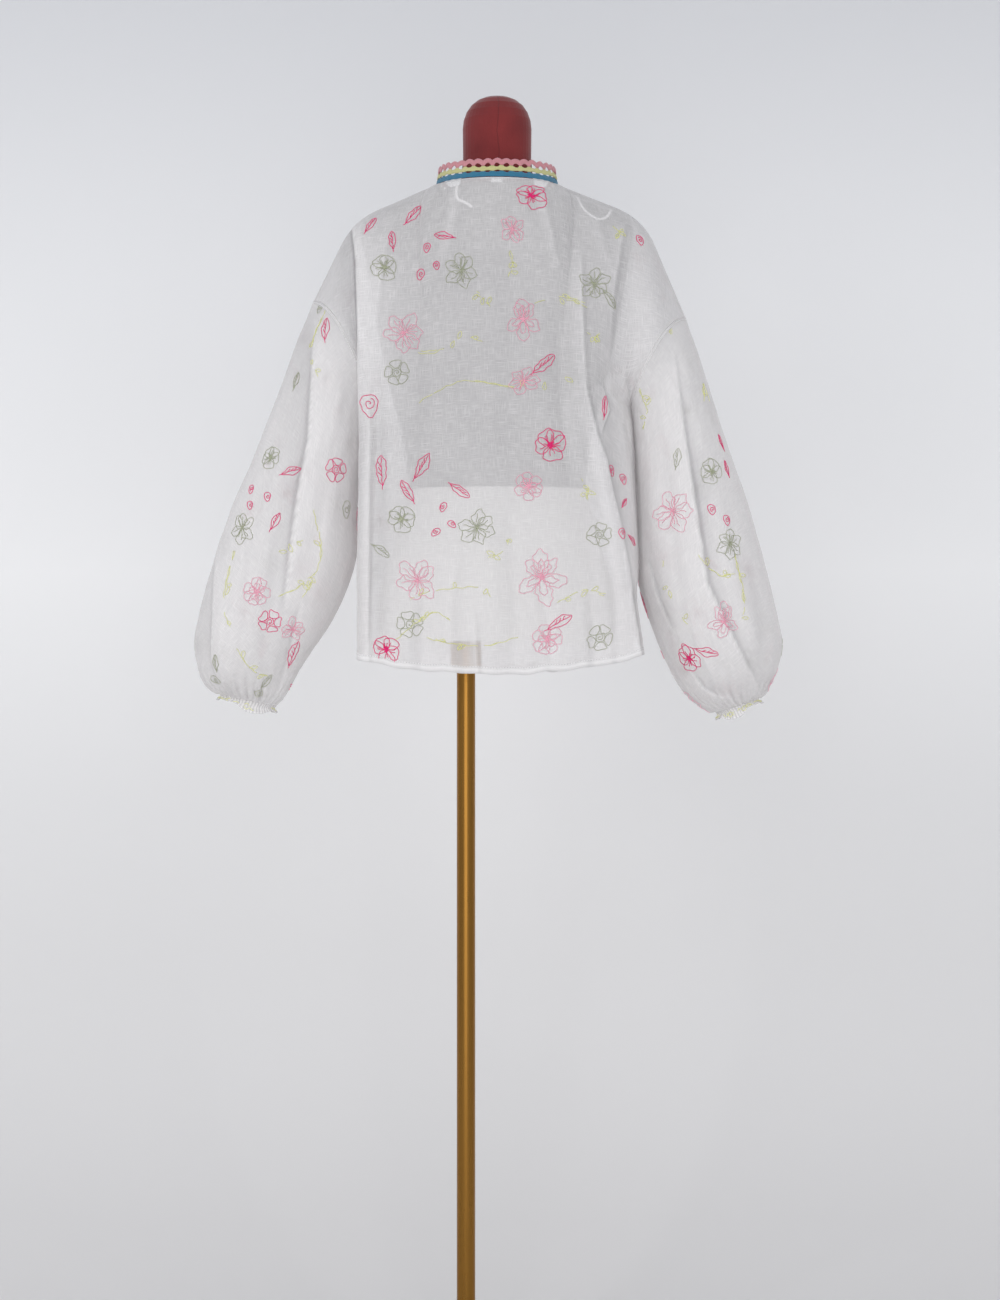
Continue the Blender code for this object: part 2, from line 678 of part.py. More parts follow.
def add_turned(name, radius, bottom, top, bevel, finish):
    bpy.ops.mesh.primitive_cylinder_add(vertices=ROUND_SIDES, radius=radius * MM,
                                        depth=(top - bottom) * MM,
                                        location=(0.0, 0.0, 0.5 * (bottom + top) * MM))
    made = bpy.context.object
    made.name = name
    made.data.materials.append(finish)
    if bevel > 0.0:
        edge = made.modifiers.new("Edge", "BEVEL")
        edge.width = bevel * MM
        edge.segments = 2
        edge.limit_method = "ANGLE"
    made.data.shade_smooth()
    made.data.set_sharp_from_angle(angle=math.radians(35.0))
    return made


def make_stand(brass, iron):
    contact = 0.3
    base_top = BASE_HEIGHT
    collar_top = base_top + contact + BASE_COLLAR_HEIGHT
    pole_bottom = collar_top + contact
    socket_bottom = TORSO_BOTTOM - contact - SOCKET_HEIGHT
    add_turned("stand_base", BASE_RADIUS, 0.0, base_top, BASE_BEVEL, iron)
    add_turned("base_collar", BASE_COLLAR_RADIUS, base_top + contact, collar_top, 3.0, brass)
    add_turned("stand_pole", POLE_RADIUS, pole_bottom, socket_bottom - contact, 0.0, brass)
    add_turned("pole_socket", SOCKET_RADIUS, socket_bottom, TORSO_BOTTOM - contact, 2.0, brass)


def build():
    clear_scene()
    cloth = material("white_voile", (0.86, 0.86, 0.85), 0.9)
    make_back(cloth)
    make_front(cloth)
    for hand in ("left", "right"):
        make_sleeve(hand, cloth)
        make_cuff(hand, cloth)
    braids = {
        "collar_braid_blue": material("blue_braid", (0.03, 0.2, 0.35), 0.85),
        "collar_braid_yellow": material("yellow_braid", (0.6, 0.6, 0.25), 0.85),
        "collar_braid_pink": material("pink_braid", (0.6, 0.25, 0.28), 0.85),
    }
    for order, name in enumerate(COLLAR_ROWS):
        make_collar_row(order, name, braids[name])
    make_label(cloth)
    for name in TAPES:
        make_tape(name, cloth)
    make_button(material("pearl_button", (0.8, 0.78, 0.74), 0.3))
    make_button_loop(cloth)
    make_torso(material("grey_cover", (0.4, 0.38, 0.38), 0.9))
    make_neck(material("maroon_cover", (0.22, 0.03, 0.03), 0.85))
    make_stand(material("brass", (0.55, 0.38, 0.14), 0.3, 1.0),
               material("dark_iron", (0.05, 0.05, 0.05), 0.5, 0.6))


build()
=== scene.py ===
import math

import bmesh
import bpy
import numpy as np
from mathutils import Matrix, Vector


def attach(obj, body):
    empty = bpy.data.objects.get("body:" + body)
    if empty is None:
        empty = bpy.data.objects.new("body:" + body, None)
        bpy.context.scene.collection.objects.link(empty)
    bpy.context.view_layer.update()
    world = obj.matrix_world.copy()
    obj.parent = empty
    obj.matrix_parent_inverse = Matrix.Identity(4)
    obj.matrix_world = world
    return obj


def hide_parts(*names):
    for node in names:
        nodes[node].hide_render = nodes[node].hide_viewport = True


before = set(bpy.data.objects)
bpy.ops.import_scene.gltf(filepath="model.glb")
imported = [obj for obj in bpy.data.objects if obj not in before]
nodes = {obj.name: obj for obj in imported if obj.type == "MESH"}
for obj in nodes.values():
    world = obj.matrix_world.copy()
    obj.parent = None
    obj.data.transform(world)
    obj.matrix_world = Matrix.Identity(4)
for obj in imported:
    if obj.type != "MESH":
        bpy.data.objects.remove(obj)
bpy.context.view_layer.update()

# Tables are in millimetres from the form's own axis, which stands 42 mm beside the pole.
# The blouse turns its back to -Y, and +X is to the right as seen from behind.
mm = 0.001
formX = 42.0
scene = bpy.context.scene

# camera, at the height and distance of the photograph
eye = {"place": (0.0459, -3.2, 0.973), "lens": 65.6, "plate": 36.0}
lens = bpy.data.cameras.new("camera")
lens.lens = eye["lens"]
lens.sensor_width = eye["plate"]
lens.clip_end = 40.0
camera = bpy.data.objects.new("camera", lens)
camera.location = eye["place"]
camera.rotation_euler = (math.radians(90.0), 0.0, 0.0)
scene.collection.objects.link(camera)
scene.camera = camera


# shader sums
class Wire:
    # One output of a material's tree. The operators add Math nodes to the same tree.
    def __init__(self, finish, socket):
        self.finish, self.socket = finish, socket

    def math(self, operation, *others):
        return self.finish.node("ShaderNodeMath", {"operation": operation}, [self, *others])

    def __add__(self, other):
        return self.math("ADD", other)

    def __sub__(self, other):
        return self.math("SUBTRACT", other)

    def __mul__(self, other):
        return self.math("MULTIPLY", other)

    def __radd__(self, other):
        return self + other

    def __rmul__(self, other):
        return self * other

    def __rsub__(self, other):
        return self.finish.node("ShaderNodeMath", {"operation": "SUBTRACT"}, [other, self])


class Finish:
    # A material with its Principled shader, and one method that adds any node
    def __init__(self, name, tint, roughness, **constants):
        self.material = bpy.data.materials.new(name)
        self.material.use_nodes = True
        self.tree = self.material.node_tree
        self.shader = self.tree.nodes["Principled BSDF"]
        self.set("Base Color", tint)
        self.set("Roughness", roughness)
        for socket, value in constants.items():
            self.set(socket.replace("_", " "), value)

    def node(self, kind, settings=None, inputs=None, output=0):
        made = self.tree.nodes.new(kind)
        for name, value in (settings or {}).items():
            if name == "stops":
                ramp = made.color_ramp
                while len(ramp.elements) < len(value):
                    ramp.elements.new(0.5)
                for element, (place, tint) in zip(ramp.elements, value):
                    element.position, element.color = place, tint
            else:
                setattr(made, name, value)
        pairs = inputs.items() if isinstance(inputs, dict) else enumerate(inputs or [])
        for name, value in pairs:
            if isinstance(value, Wire):
                self.tree.links.new(value.socket, made.inputs[name])
            else:
                made.inputs[name].default_value = value
        return Wire(self, made.outputs[output])

    def set(self, socket, value):
        if isinstance(value, Wire):
            self.tree.links.new(value.socket, self.shader.inputs[socket])
        else:
            self.shader.inputs[socket].default_value = value

    def mix(self, share, first, second):
        return self.node("ShaderNodeMix", {"data_type": "RGBA"}, {0: share, 6: first, 7: second}, 2)

    def place(self):
        return self.node("ShaderNodeTexCoord", output="Object")

    def ownMap(self):
        return self.node("ShaderNodeUVMap", {"uv_map": "cloth"})

    def part(self, vector, axis):
        return self.node("ShaderNodeSeparateXYZ", None, [vector], axis)

    def stretched(self, vector, scale):
        return self.node("ShaderNodeVectorMath", {"operation": "MULTIPLY"}, [vector, scale])

    def between(self, value, low, high, kind="SMOOTHSTEP"):
        # 0 at the low value and 1 at the high one
        return self.node("ShaderNodeMapRange", {"interpolation_type": kind},
                         {"Value": value, "From Min": low, "From Max": high})

    def noise(self, vector, scale, detail=2.0, roughness=0.5):
        return self.node("ShaderNodeTexNoise", None,
                         {"Vector": vector, "Scale": scale, "Detail": detail, "Roughness": roughness})

    def attribute(self, name):
        return self.node("ShaderNodeAttribute", {"attribute_name": name}, output="Fac")

    def bump(self, height, distance, strength=1.0):
        self.set("Normal", self.node("ShaderNodeBump", None,
                                     {"Strength": strength, "Distance": distance, "Height": height}))


def paint(red, green, blue):
    # Screen values 0 to 255 turned to the opaque linear colour that sockets take
    share = np.array([red, green, blue]) / 255.0
    linear = np.where(share > 0.04045, ((share + 0.055) / 1.055) ** 2.4, share / 12.92)
    return tuple(map(float, linear)) + (1.0,)


voile = {
    # shade is painted shade, the colour that the troughs of folds mix towards
    "tint": (246, 244, 244), "paintedLitSleeveTint": (252, 250, 249), "warm": (240, 238, 238), "shade": (185, 183, 184),
    # opacity of plain cloth and of doubled cloth, and what crests, drifting patches and turned cloth add; the
    # crests' opacity is a painted highlight, and the turned cloth's is partly painted light
    "sheer": 0.385, "doubled": 0.88, "crest": 0.26, "patch": 0.07, "edge": 0.55,
    # opacity that the slub threads add below and above the form's level edge, and the heights of that change
    "bodySlub": (0.055, 0.13), "sleeveSlub": (0.05, 0.05), "slubHeights": (1.17, 1.23),
    # noise scales along and across the weft and the warp, and how sharply a thread shows
    "threads": ((60.0, 1250.0, 1.0), (1250.0, 54.0, 1.0)), "threadFrom": 0.47, "threadGain": 4.4,
    "warpShare": 0.9, "patchScale": 14.0, "bump": 0.00014,
    "depthShare": 0.7,      # of a panel's depth, counted as length down its threads
}


def makeVoile(name, slubRange, tint):
    # Slub threads run both ways on the cloth's own map: whiter and denser where thick, open where thin
    made = Finish(name, paint(*tint), 0.92, Sheen_Weight=0.12, Sheen_Roughness=0.6, Specular_IOR_Level=0.12)
    cloth = made.ownMap()
    lines = []
    for scale in voile["threads"]:
        line = made.noise(made.stretched(cloth, scale), 1.0, 1.0, 0.6)
        lines.append(((line - voile["threadFrom"]) * voile["threadGain"]).math("MAXIMUM", 0.0))
    weft, warp = lines
    slub = weft.math("MAXIMUM", warp * voile["warpShare"]).math("MINIMUM", 1.0)
    patch = made.noise(cloth, voile["patchScale"], 1.0)
    doubled, hollow = made.attribute("doubled"), made.attribute("hollow")
    white = made.mix(slub, paint(*voile["warm"]), paint(*tint))
    # painted shade: where the fold shading field is positive the colour mixes towards the shade colour
    made.set("Base Color", made.mix(hollow.math("MAXIMUM", 0.0), white, paint(*voile["shade"])))
    # painted highlight: crests get more opacity, so they look whiter
    crest = (hollow * -1.0).math("MAXIMUM", 0.0)
    # the weave shows most where the form's grey cover lies behind it, above its level lower edge
    above = made.between(made.part(made.place(), "Z"), *voile["slubHeights"])
    slubShare = above * (slubRange[1] - slubRange[0]) + slubRange[0]
    thin = slub * slubShare + (patch - 0.5) * voile["patch"] + voile["sheer"] + crest * voile["crest"]
    made.set("Alpha", (thin * (1.0 - doubled) + doubled * voile["doubled"]).math("MINIMUM", 1.0))
    made.bump(slub, voile["bump"])
    return made.material


# outline of the blouse, the same as the part's
cut = {
    "seamGap": 0.4, "seamStep": 0.3, "neckShare": 1.0 / 3.0,
    "neckHalf": 81.0, "neckHeight": 1598.5, "neckDepth": (69.0, 76.0), "neckDrop": (0.0, 30.0),
    "underarm": 1300.0, "hem": 943.0, "hemLift": 20.0, "hemSides": (25.0, 34.0), "hemSag": 1.5,
    "slit": 110.0, "slitWidth": 1.6, "foldRadius": 14.0, "seamRun": 22.0, "shoulderBend": 42.0, "cloth": 0.7,
    "shoulders": {"left": (-194.0, 1553.5, -248.0, 1444.0), "right": (197.0, 1556.0, 255.0, 1421.0)},
    # height, left seam, left fold x and y, back y, right fold x and y, right seam,
    # front left and right, front fold y, front y
    "body": (
        (943.0, -174.0, -185.0, -104.0, -122.0, 195.0, -98.0, 184.0, -190.0, 190.0, 108.0, 146.0),
        (1030.0, -172.0, -186.0, -102.0, -119.0, 181.0, -100.0, 188.0, -187.0, 187.0, 104.0, 142.0),
        (1110.0, -170.0, -186.0, -98.0, -115.0, 163.0, -100.0, 187.0, -184.0, 184.0, 98.0, 138.0),
        (1200.0, -168.0, -185.0, -92.0, -112.0, 145.0, -100.0, 186.0, -180.0, 180.0, 92.0, 134.0),
        (1300.0, -166.0, -185.0, -86.0, -110.0, 127.0, -100.0, 178.0, -176.0, 176.0, 88.0, 130.0),
    ),
    # outer x and z, inner x and z, half depth, middle y
    "sleeves": {
        "left": (
            (-266.0, 1398.0, -173.0, 1272.0, 66.0, 0.0), (-283.0, 1352.0, -181.0, 1236.0, 68.0, 2.0),
            (-303.0, 1296.0, -188.0, 1196.0, 72.0, 4.0), (-331.0, 1225.0, -191.0, 1146.0, 78.0, 6.0),
            (-359.0, 1164.0, -192.0, 1100.0, 84.0, 8.0), (-388.0, 1078.0, -204.0, 1057.0, 88.0, 8.0),
            (-404.0, 1016.0, -226.0, 1010.0, 86.0, 8.0), (-409.0, 982.0, -249.0, 976.0, 78.0, 6.0),
            (-404.0, 951.0, -267.0, 948.0, 66.0, 5.0), (-397.0, 933.0, -279.0, 926.0, 52.0, 4.0),
            (-386.0, 920.0, -289.0, 908.0, 37.0, 3.0), (-374.0, 914.0, -299.0, 898.0, 27.0, 3.0),
        ),
        "right": (
            (266.0, 1388.0, 182.0, 1272.0, 66.0, 0.0), (282.0, 1340.0, 186.0, 1236.0, 68.0, 0.0),
            (298.0, 1290.0, 188.5, 1196.0, 72.0, 0.0), (318.0, 1228.0, 189.5, 1146.0, 78.0, 2.0),
            (340.0, 1162.0, 190.5, 1100.0, 84.0, 4.0), (362.0, 1084.0, 196.0, 1052.0, 88.0, 4.0),
            (379.0, 1016.0, 213.0, 1000.0, 86.0, 4.0), (385.0, 982.0, 229.0, 962.0, 80.0, 4.0),
            (379.0, 950.0, 243.0, 934.0, 68.0, 3.0), (370.0, 930.0, 257.0, 914.0, 54.0, 3.0),
            (362.0, 916.0, 276.0, 898.0, 38.0, 2.0), (353.0, 909.0, 296.0, 889.0, 27.0, 2.0),
        ),
    },
}


def hermite(first, leave, second, arrive, part):
    # Cubic from first to second that leaves and arrives along two given slopes
    square, cube = part ** 2, part ** 3
    return ((2 * cube - 3 * square + 1) * first + (cube - 2 * square + part) * leave
            + (3 * square - 2 * cube) * second + (cube - square) * arrive)


def smoothRows(values, position):
    # Uniform Catmull-Rom through rows, each slope half the step between its neighbours
    values = np.asarray(values, float)
    last = len(values) - 1
    position = np.clip(np.asarray(position, float), 0.0, last)
    start = np.minimum(position.astype(int), last - 1)
    part = (position - start).reshape((-1,) + (1,) * (values.ndim - 1))
    first, second = values[start], values[start + 1]
    leave = 0.5 * (second - values[np.maximum(start - 1, 0)])
    arrive = 0.5 * (values[np.minimum(start + 2, last)] - first)
    return hermite(first, leave, second, arrive, part)


def atHeight(table, height):
    # A table's values at a height, on the smooth curve through its rows
    table = np.asarray(table, float)
    return smoothRows(table, [np.interp(height, table[:, 0], np.arange(len(table)))])[0]


def roundedPath(corners, radius, steps=6):
    # Straight runs joined by short parabolas that start and end a radius from each corner
    corners = np.asarray(corners, float)
    path = [corners[0]]
    for before, corner, after in zip(corners[:-2], corners[1:-1], corners[2:]):
        back, on = before - corner, after - corner
        start = corner + back / np.linalg.norm(back) * min(radius, 0.45 * np.linalg.norm(back))
        end = corner + on / np.linalg.norm(on) * min(radius, 0.45 * np.linalg.norm(on))
        for part in np.linspace(0.0, 1.0, steps):
            path.append((1 - part) ** 2 * start + 2 * part * (1 - part) * corner + part ** 2 * end)
    return np.array(path + [corners[-1]])


def alongPath(path, share):
    # Points at a share of a path's length
    length = np.concatenate(([0.0], np.cumsum(np.linalg.norm(np.diff(path, axis=0), axis=1))))
    target = np.asarray(share, float) * length[-1]
    return np.stack([np.interp(target, length, path[:, axis]) for axis in range(3)], axis=-1)


def topEdge(side, across):
    # Quarter ellipses of the neckline over the middle third, then the shoulder seams bent over the tips
    share, order = np.abs(across), int(side == "front")
    sign = 2.0 * order - 1.0
    angle = np.linspace(0.0, 0.5 * math.pi, 25)
    curve = np.stack([cut["neckHalf"] * np.sin(angle),
                      sign * (cut["neckDepth"][order] * np.cos(angle) + 0.5 * cut["seamGap"]),
                      cut["neckHeight"] - cut["neckDrop"][order] * np.cos(angle)], axis=-1)
    neck = alongPath(curve, np.minimum(share / cut["neckShare"], 1.0))
    neck[:, 0] *= np.sign(across)
    out = np.clip((share - cut["neckShare"]) / (1.0 - cut["neckShare"]), 0.0, 1.0)
    runs = []
    for hand in ("left", "right"):
        tipX, tipZ, armX, armZ = cut["shoulders"][hand]
        y = 0.5 * sign * cut["seamGap"]
        neckPoint = (math.copysign(cut["neckHalf"], tipX), y, cut["neckHeight"])
        corners = [neckPoint, (tipX, y, tipZ), (armX, y, armZ)]
        runs.append(alongPath(roundedPath(corners, cut["shoulderBend"], 9), out))
    shoulder = np.where((across < 0.0)[:, None], runs[0], runs[1])
    return np.where((share <= cut["neckShare"] + 1e-9)[:, None], neck, shoulder)


def bodySection(side, height, across):
    # Plan of the body at a height: seam, fold, middle, fold, seam, with soft corners
    section = atHeight(cut["body"], height)[1:]
    leftSeam, leftX, leftY, backY, rightX, rightY, rightSeam, frontL, frontR, foldY, frontY = section
    sign = -1.0
    left, right, middle = (leftX, leftY), (rightX, rightY), backY
    if side == "front":
        sign, left, right, middle = 1.0, (frontL, foldY), (frontR, foldY), frontY
    gap, run = 0.5 * sign * cut["seamGap"], sign * cut["seamRun"]
    corners = [(leftSeam, gap, height), (leftSeam, run, height), (*left, height), (0.0, middle, height),
               (*right, height), (rightSeam, run, height), (rightSeam, gap, height)]
    whole = roundedPath(corners, cut["foldRadius"])
    half = int(np.argmin(np.abs(whole[:, 0])))
    leftPart = alongPath(whole[:half + 1], 1.0 + np.minimum(across, 0.0))
    rightPart = alongPath(whole[half:], np.maximum(across, 0.0))
    return np.where((across < 0.0)[:, None], leftPart, rightPart)


# upper part of a panel: how far the armhole and the neck reach along it, and the slopes in mm with which it
# leaves the shoulder seam and comes to the underarm. Threes are for plain cloth, the neck and the armhole
drape = {
    "armholeFrom": 0.66, "armholePower": 1.5, "neckTo": 0.36, "cornerWidth": 0.15,
    "leaveCorner": 130.0, "leaveIn": 120.0, "leaveAway": (280.0, 110.0, 300.0),
    "leaveDown": (16.0, 150.0, 20.0), "arriveIn": 300.0, "arriveDown": (270.0, 230.0),
}


def panelGrid(side, across, down):
    # Down runs from 0 at the shoulder seam to 1 at the underarm, a cubic patch, and to 2 at the hem
    across = np.asarray(across, float)
    sign = 1.0 if side == "front" else -1.0
    share = np.abs(across)
    armhole = np.clip((share - drape["armholeFrom"]) / (1.0 - drape["armholeFrom"]), 0.0, 1.0)
    armhole = armhole ** drape["armholePower"]
    neck = 0.5 + 0.5 * np.cos(math.pi * np.clip(share / drape["neckTo"], 0.0, 1.0))
    plain = np.clip(1.0 - armhole - neck, 0.0, 1.0)
    corner = np.exp(-((share - cut["neckShare"]) / drape["cornerWidth"]) ** 2)
    parts = np.stack([plain, neck, armhole])
    leave = np.stack([np.sign(across) * (drape["leaveCorner"] * corner - drape["leaveIn"] * armhole),
                      sign * (np.array(drape["leaveAway"]) @ parts), -(np.array(drape["leaveDown"]) @ parts)],
                     axis=-1)
    arrive = np.stack([0.0 * across, -sign * drape["arriveIn"] * armhole,
                       drape["arriveDown"][1] * armhole - drape["arriveDown"][0]], axis=-1)
    top, under = topEdge(side, across), bodySection(side, cut["underarm"], across)
    rows = []
    for step in down:
        if step <= 1.0:
            rows.append(hermite(top, leave, under, arrive, step))
            continue
        part = step - 1.0
        row = bodySection(side, cut["underarm"] + (cut["hem"] - cut["underarm"]) * part, across)
        row[:, 2] += cut["hemLift"] * part ** 2 * share ** 2.5
        rows.append(row)
    return np.array(rows)


# where a sleeve leaves its armhole: how its columns spread, and its first step along the sleeve and outwards
armJoin = {"spread": 1.15, "along": 0.6, "outwards": 0.8}


def sleeveGrid(hand, along, around):
    # Lengthwise lines are smooth curves from the armhole loop through the rings
    edge = np.array([-1.0 if hand == "left" else 1.0])
    around = np.asarray(around, float)
    half = 2.0 * np.minimum(around, 1.0 - around)
    down = np.clip(half, 0.0, 1.0) ** armJoin["spread"]
    back, front = (panelGrid(side, edge, down)[:, 0] for side in ("back", "front"))
    loop = np.where((around <= 0.5)[:, None], back, front)
    loop[:, 1] *= np.where((half < 1e-6) | (half > 1.0 - 1e-6), 0.0, 1.0)
    angle = 2.0 * math.pi * around
    rings = []
    for outerX, outerZ, innerX, innerZ, depth, middleY in cut["sleeves"][hand]:
        middle = np.array([0.5 * (outerX + innerX), middleY, 0.5 * (outerZ + innerZ)])
        reach = np.array([0.5 * (outerX - innerX), 0.0, 0.5 * (outerZ - innerZ)])
        rear = np.array([0.0, -depth, 0.0])
        rings.append(middle + np.cos(angle)[:, None] * reach + np.sin(angle)[:, None] * rear)
    flow = rings[0] - loop
    step = armJoin["along"] * flow / np.linalg.norm(flow, axis=1)[:, None]
    step = step + np.array([armJoin["outwards"] * edge[0], 0.0, 0.0])
    first = loop + cut["seamStep"] * step / np.linalg.norm(step, axis=1)[:, None]
    return smoothRows(np.array([first] + rings), np.asarray(along, float) * len(rings))


# folds: ridges and troughs along lines on the plane through the pole, as the eye sees them
def seenPlace(points):
    # A point's place on the upright plane through the pole, in line with the camera, in mm from the pole
    reach = eye["place"][1] / mm
    share = reach / (reach - points[..., 1])
    x = eye["place"][0] / mm + (points[..., 0] + formX - eye["place"][0] / mm) * share
    z = eye["place"][2] / mm + (points[..., 2] - eye["place"][2] / mm) * share
    return np.stack([x, z], axis=-1)


# how a fold dies out at its ends, how much painted shade and painted light it lays on the cloth beside it,
# over how many mm, and the bend and height at which a trough's painted shade or a crest's painted light
# is nearly full
crease = {"taper": 0.6, "tone": 0.11, "light": 0.9, "darkReach": 24.0, "lightReach": 34.0,
          "fullBend": 0.12, "fullHeight": 3.0}


def foldRelief(seen, folds):
    # Each fold: a line, its half width, its height, and a lean that makes one flank steeper. A steep flank
    # also lays painted shade on the cloth beside it and painted light on the cloth on the other side
    total, tone = np.zeros(seen.shape[:-1]), np.zeros(seen.shape[:-1])
    for line, width, height, lean in folds:
        line = np.asarray(line, float)
        lengths = np.linalg.norm(np.diff(line, axis=0), axis=1)
        before = np.concatenate(([0.0], np.cumsum(lengths)))
        best = np.full(total.shape, 1e9)
        side, place = np.zeros(total.shape), np.zeros(total.shape)
        for start, end, length, passed in zip(line[:-1], line[1:], lengths, before):
            run = (end - start) / length
            offset = seen - start
            share = np.clip(offset @ run, 0.0, length)
            away = offset - share[..., None] * run
            distance = np.linalg.norm(away, axis=-1)
            nearer = distance < best
            best = np.where(nearer, distance, best)
            side = np.where(nearer, np.sign(away[..., 0]), side)
            place = np.where(nearer, (passed + share) / before[-1], place)
        taper = np.clip(np.sin(math.pi * np.clip(place, 0.0, 1.0)), 0.0, 1.0) ** crease["taper"]
        reach = width * np.where(side > 0.0, 1.0 - lean, 1.0 + lean)
        total += height * taper * np.exp(-(best / reach) ** 2)
        # painted shade beside the steep flank and painted light beside the gentle one, summed in tone
        steep = lean * side > 0.0
        strength = crease["tone"] * abs(height) * lean ** 2 * taper * np.where(steep, 1.0, -crease["light"])
        tone += strength * np.exp(-(best / np.where(steep, crease["darkReach"], crease["lightReach"])) ** 2)
    return total, tone


def turnedAway(normal):
    # Cloth that turns sideways shows its threads closer together to an eye in front of it, so it looks
    # whiter.
    # Fixed on the surface for that one eye, this is partly painted light that lifts the shade on cloth turned
    # sideways
    return voile["edge"] * (1.0 - np.abs(normal[..., 1])) ** 2


def anyPhase(draws):
    # An even draw of an angle, nearly once round
    return draws.uniform(0.0, 6.28)


# hanging waves: lengths in mm, lean, and how their strength drifts down the cloth, then the small waves
waves = {"count": 16, "length": (28.0, 90.0), "lean": 0.28, "height": (0.3, 1.0), "perHeight": 60.0,
         "drift": (120.0, 420.0), "smallCount": 14, "smallLength": (10.0, 26.0), "smallHeight": 0.12 / 18.0}


def softRumple(u, v, seed, amount):
    # Uneven hanging waves: sines of many lengths that mostly run across the cloth, in mm
    draws = np.random.default_rng(seed)
    total = np.zeros(np.shape(u))
    for _ in range(waves["count"]):
        length = draws.uniform(*waves["length"])
        lean = draws.normal(0.0, waves["lean"])
        height = draws.uniform(*waves["height"]) * length / waves["perHeight"]
        wave = height * np.sin(2.0 * math.pi * (u + lean * v) / length + anyPhase(draws))
        drift = 2.0 * math.pi * v / draws.uniform(*waves["drift"]) + anyPhase(draws)
        total += wave * (0.5 + 0.5 * np.sin(drift))
    for _ in range(waves["smallCount"]):
        length, turn = draws.uniform(*waves["smallLength"]), draws.uniform(0.0, math.pi)
        run = u * math.cos(turn) + v * math.sin(turn)
        total += waves["smallHeight"] * length * np.sin(2.0 * math.pi * run / length + anyPhase(draws))
    return amount * total


def gridNormals(grid, closed=False):
    # Cross product of the grid's two directions
    if closed:
        wide = np.concatenate([grid[:, -1:], grid, grid[:, :1]], axis=1)
        sideways = 0.5 * (wide[:, 2:] - wide[:, :-2])
    else:
        sideways = np.gradient(grid, axis=1)
    normal = np.cross(sideways, np.gradient(grid, axis=0))
    return normal / np.maximum(np.linalg.norm(normal, axis=-1), 1e-9)[..., None]


def paintedFoldShading(height, step, tone, beside=0.0):
    # Painted shade towards 1 in a trough and painted light towards -1 on a crest: from curvature across the
    # folds and their height, plus the painted tone beside steep flanks, softly limited
    padded = np.pad(height, ((0, 0), (1, 1)), mode="edge")
    bend = (padded[:, 2:] + padded[:, :-2] - 2.0 * height) / step ** 2
    trough, crest = np.tanh(bend / crease["fullBend"]), np.tanh(height / crease["fullHeight"])
    return np.clip(tone[0] * trough - tone[1] * crest + beside, -1.0, 1.0)


def wovenMap(grid, sign):
    # Threads hang straight: level distance along each row, and height with a share of the depth
    level = np.linalg.norm(np.diff(grid[..., :2], axis=1), axis=-1)
    u = np.concatenate([np.zeros((len(grid), 1)), np.cumsum(level, axis=1)], axis=1)
    u -= u[:, u.shape[1] // 2][:, None]
    return np.stack([u, grid[..., 2] - sign * voile["depthShare"] * grid[..., 1]], axis=-1) * mm


def clothMap(grid):
    # Lengths along the cloth both ways, in metres, from the middle column and the top row
    sideways = np.linalg.norm(np.diff(grid, axis=1), axis=-1)
    u = np.concatenate([np.zeros((len(grid), 1)), np.cumsum(sideways, axis=1)], axis=1)
    u -= u[:, u.shape[1] // 2][:, None]
    downwards = np.linalg.norm(np.diff(grid, axis=0), axis=-1)
    v = np.concatenate([np.zeros((1, grid.shape[1])), np.cumsum(downwards, axis=0)], axis=0)
    return np.stack([u, -v], axis=-1) * mm


def gridQuads(rows, columns, closed=False):
    # Corner numbers of each cell of a grid, row by row; a closed grid's last column joins its first
    width = columns if closed else columns + 1
    here = np.arange(rows)[:, None] * width + np.arange(columns)[None, :]
    beside = np.arange(rows)[:, None] * width + (np.arange(columns)[None, :] + 1) % width
    return np.stack([here, beside, beside + width, here + width], axis=-1).reshape(-1, 4)


def layUv(mesh, corners):
    # One place on the cloth's map for each corner of each face
    layer = mesh.uv_layers.new(name="cloth")
    layer.data.foreach_set("uv", corners.astype(np.float32).ravel())


def makeMesh(name, points, faces, material, uv=None, fields=None):
    # Points in mm from the form's axis become a mesh whose object stays at the origin
    mesh = bpy.data.meshes.new(name)
    world = (np.asarray(points, float).reshape(-1, 3) + np.array([formX, 0.0, 0.0])) * mm
    faces = np.asarray(faces)
    mesh.vertices.add(len(world))
    mesh.vertices.foreach_set("co", world.astype(np.float32).ravel())
    mesh.loops.add(faces.size)
    mesh.loops.foreach_set("vertex_index", faces.ravel().astype(np.int32))
    mesh.polygons.add(len(faces))
    mesh.polygons.foreach_set("loop_start", (np.arange(len(faces)) * faces.shape[1]).astype(np.int32))
    mesh.update(calc_edges=True)
    mesh.validate()
    if uv is not None:
        layUv(mesh, np.asarray(uv, float).reshape(-1, 2)[faces.ravel()])
    for field, values in (fields or {}).items():
        layer = mesh.attributes.new(field, "FLOAT", "POINT")
        layer.data.foreach_set("value", np.asarray(values, np.float32).ravel())
    mesh.shade_smooth()
    made = bpy.data.objects.new(name, mesh)
    mesh.materials.append(material)
    scene.collection.objects.link(made)
    return made


def addWall(piece, thickness):
    # Thickness goes inwards from the worked-out surface
    wall = piece.modifiers.new("wall", "SOLIDIFY")
    wall.thickness = thickness * mm
    wall.offset = -1.0
    wall.use_even_offset = False


def rise(value, low, high):
    # Smooth step from 0 at low to 1 at high
    share = np.clip((value - low) / (high - low), 0.0, 1.0)
    return share * share * (3.0 - 2.0 * share)


# materials
voileBody = makeVoile("voile body", voile["bodySlub"], voile["tint"])
# the sleeves get a whiter copy of the same voile: painted light
voileSleeve = makeVoile("voile sleeve", voile["sleeveSlub"], voile["paintedLitSleeveTint"])
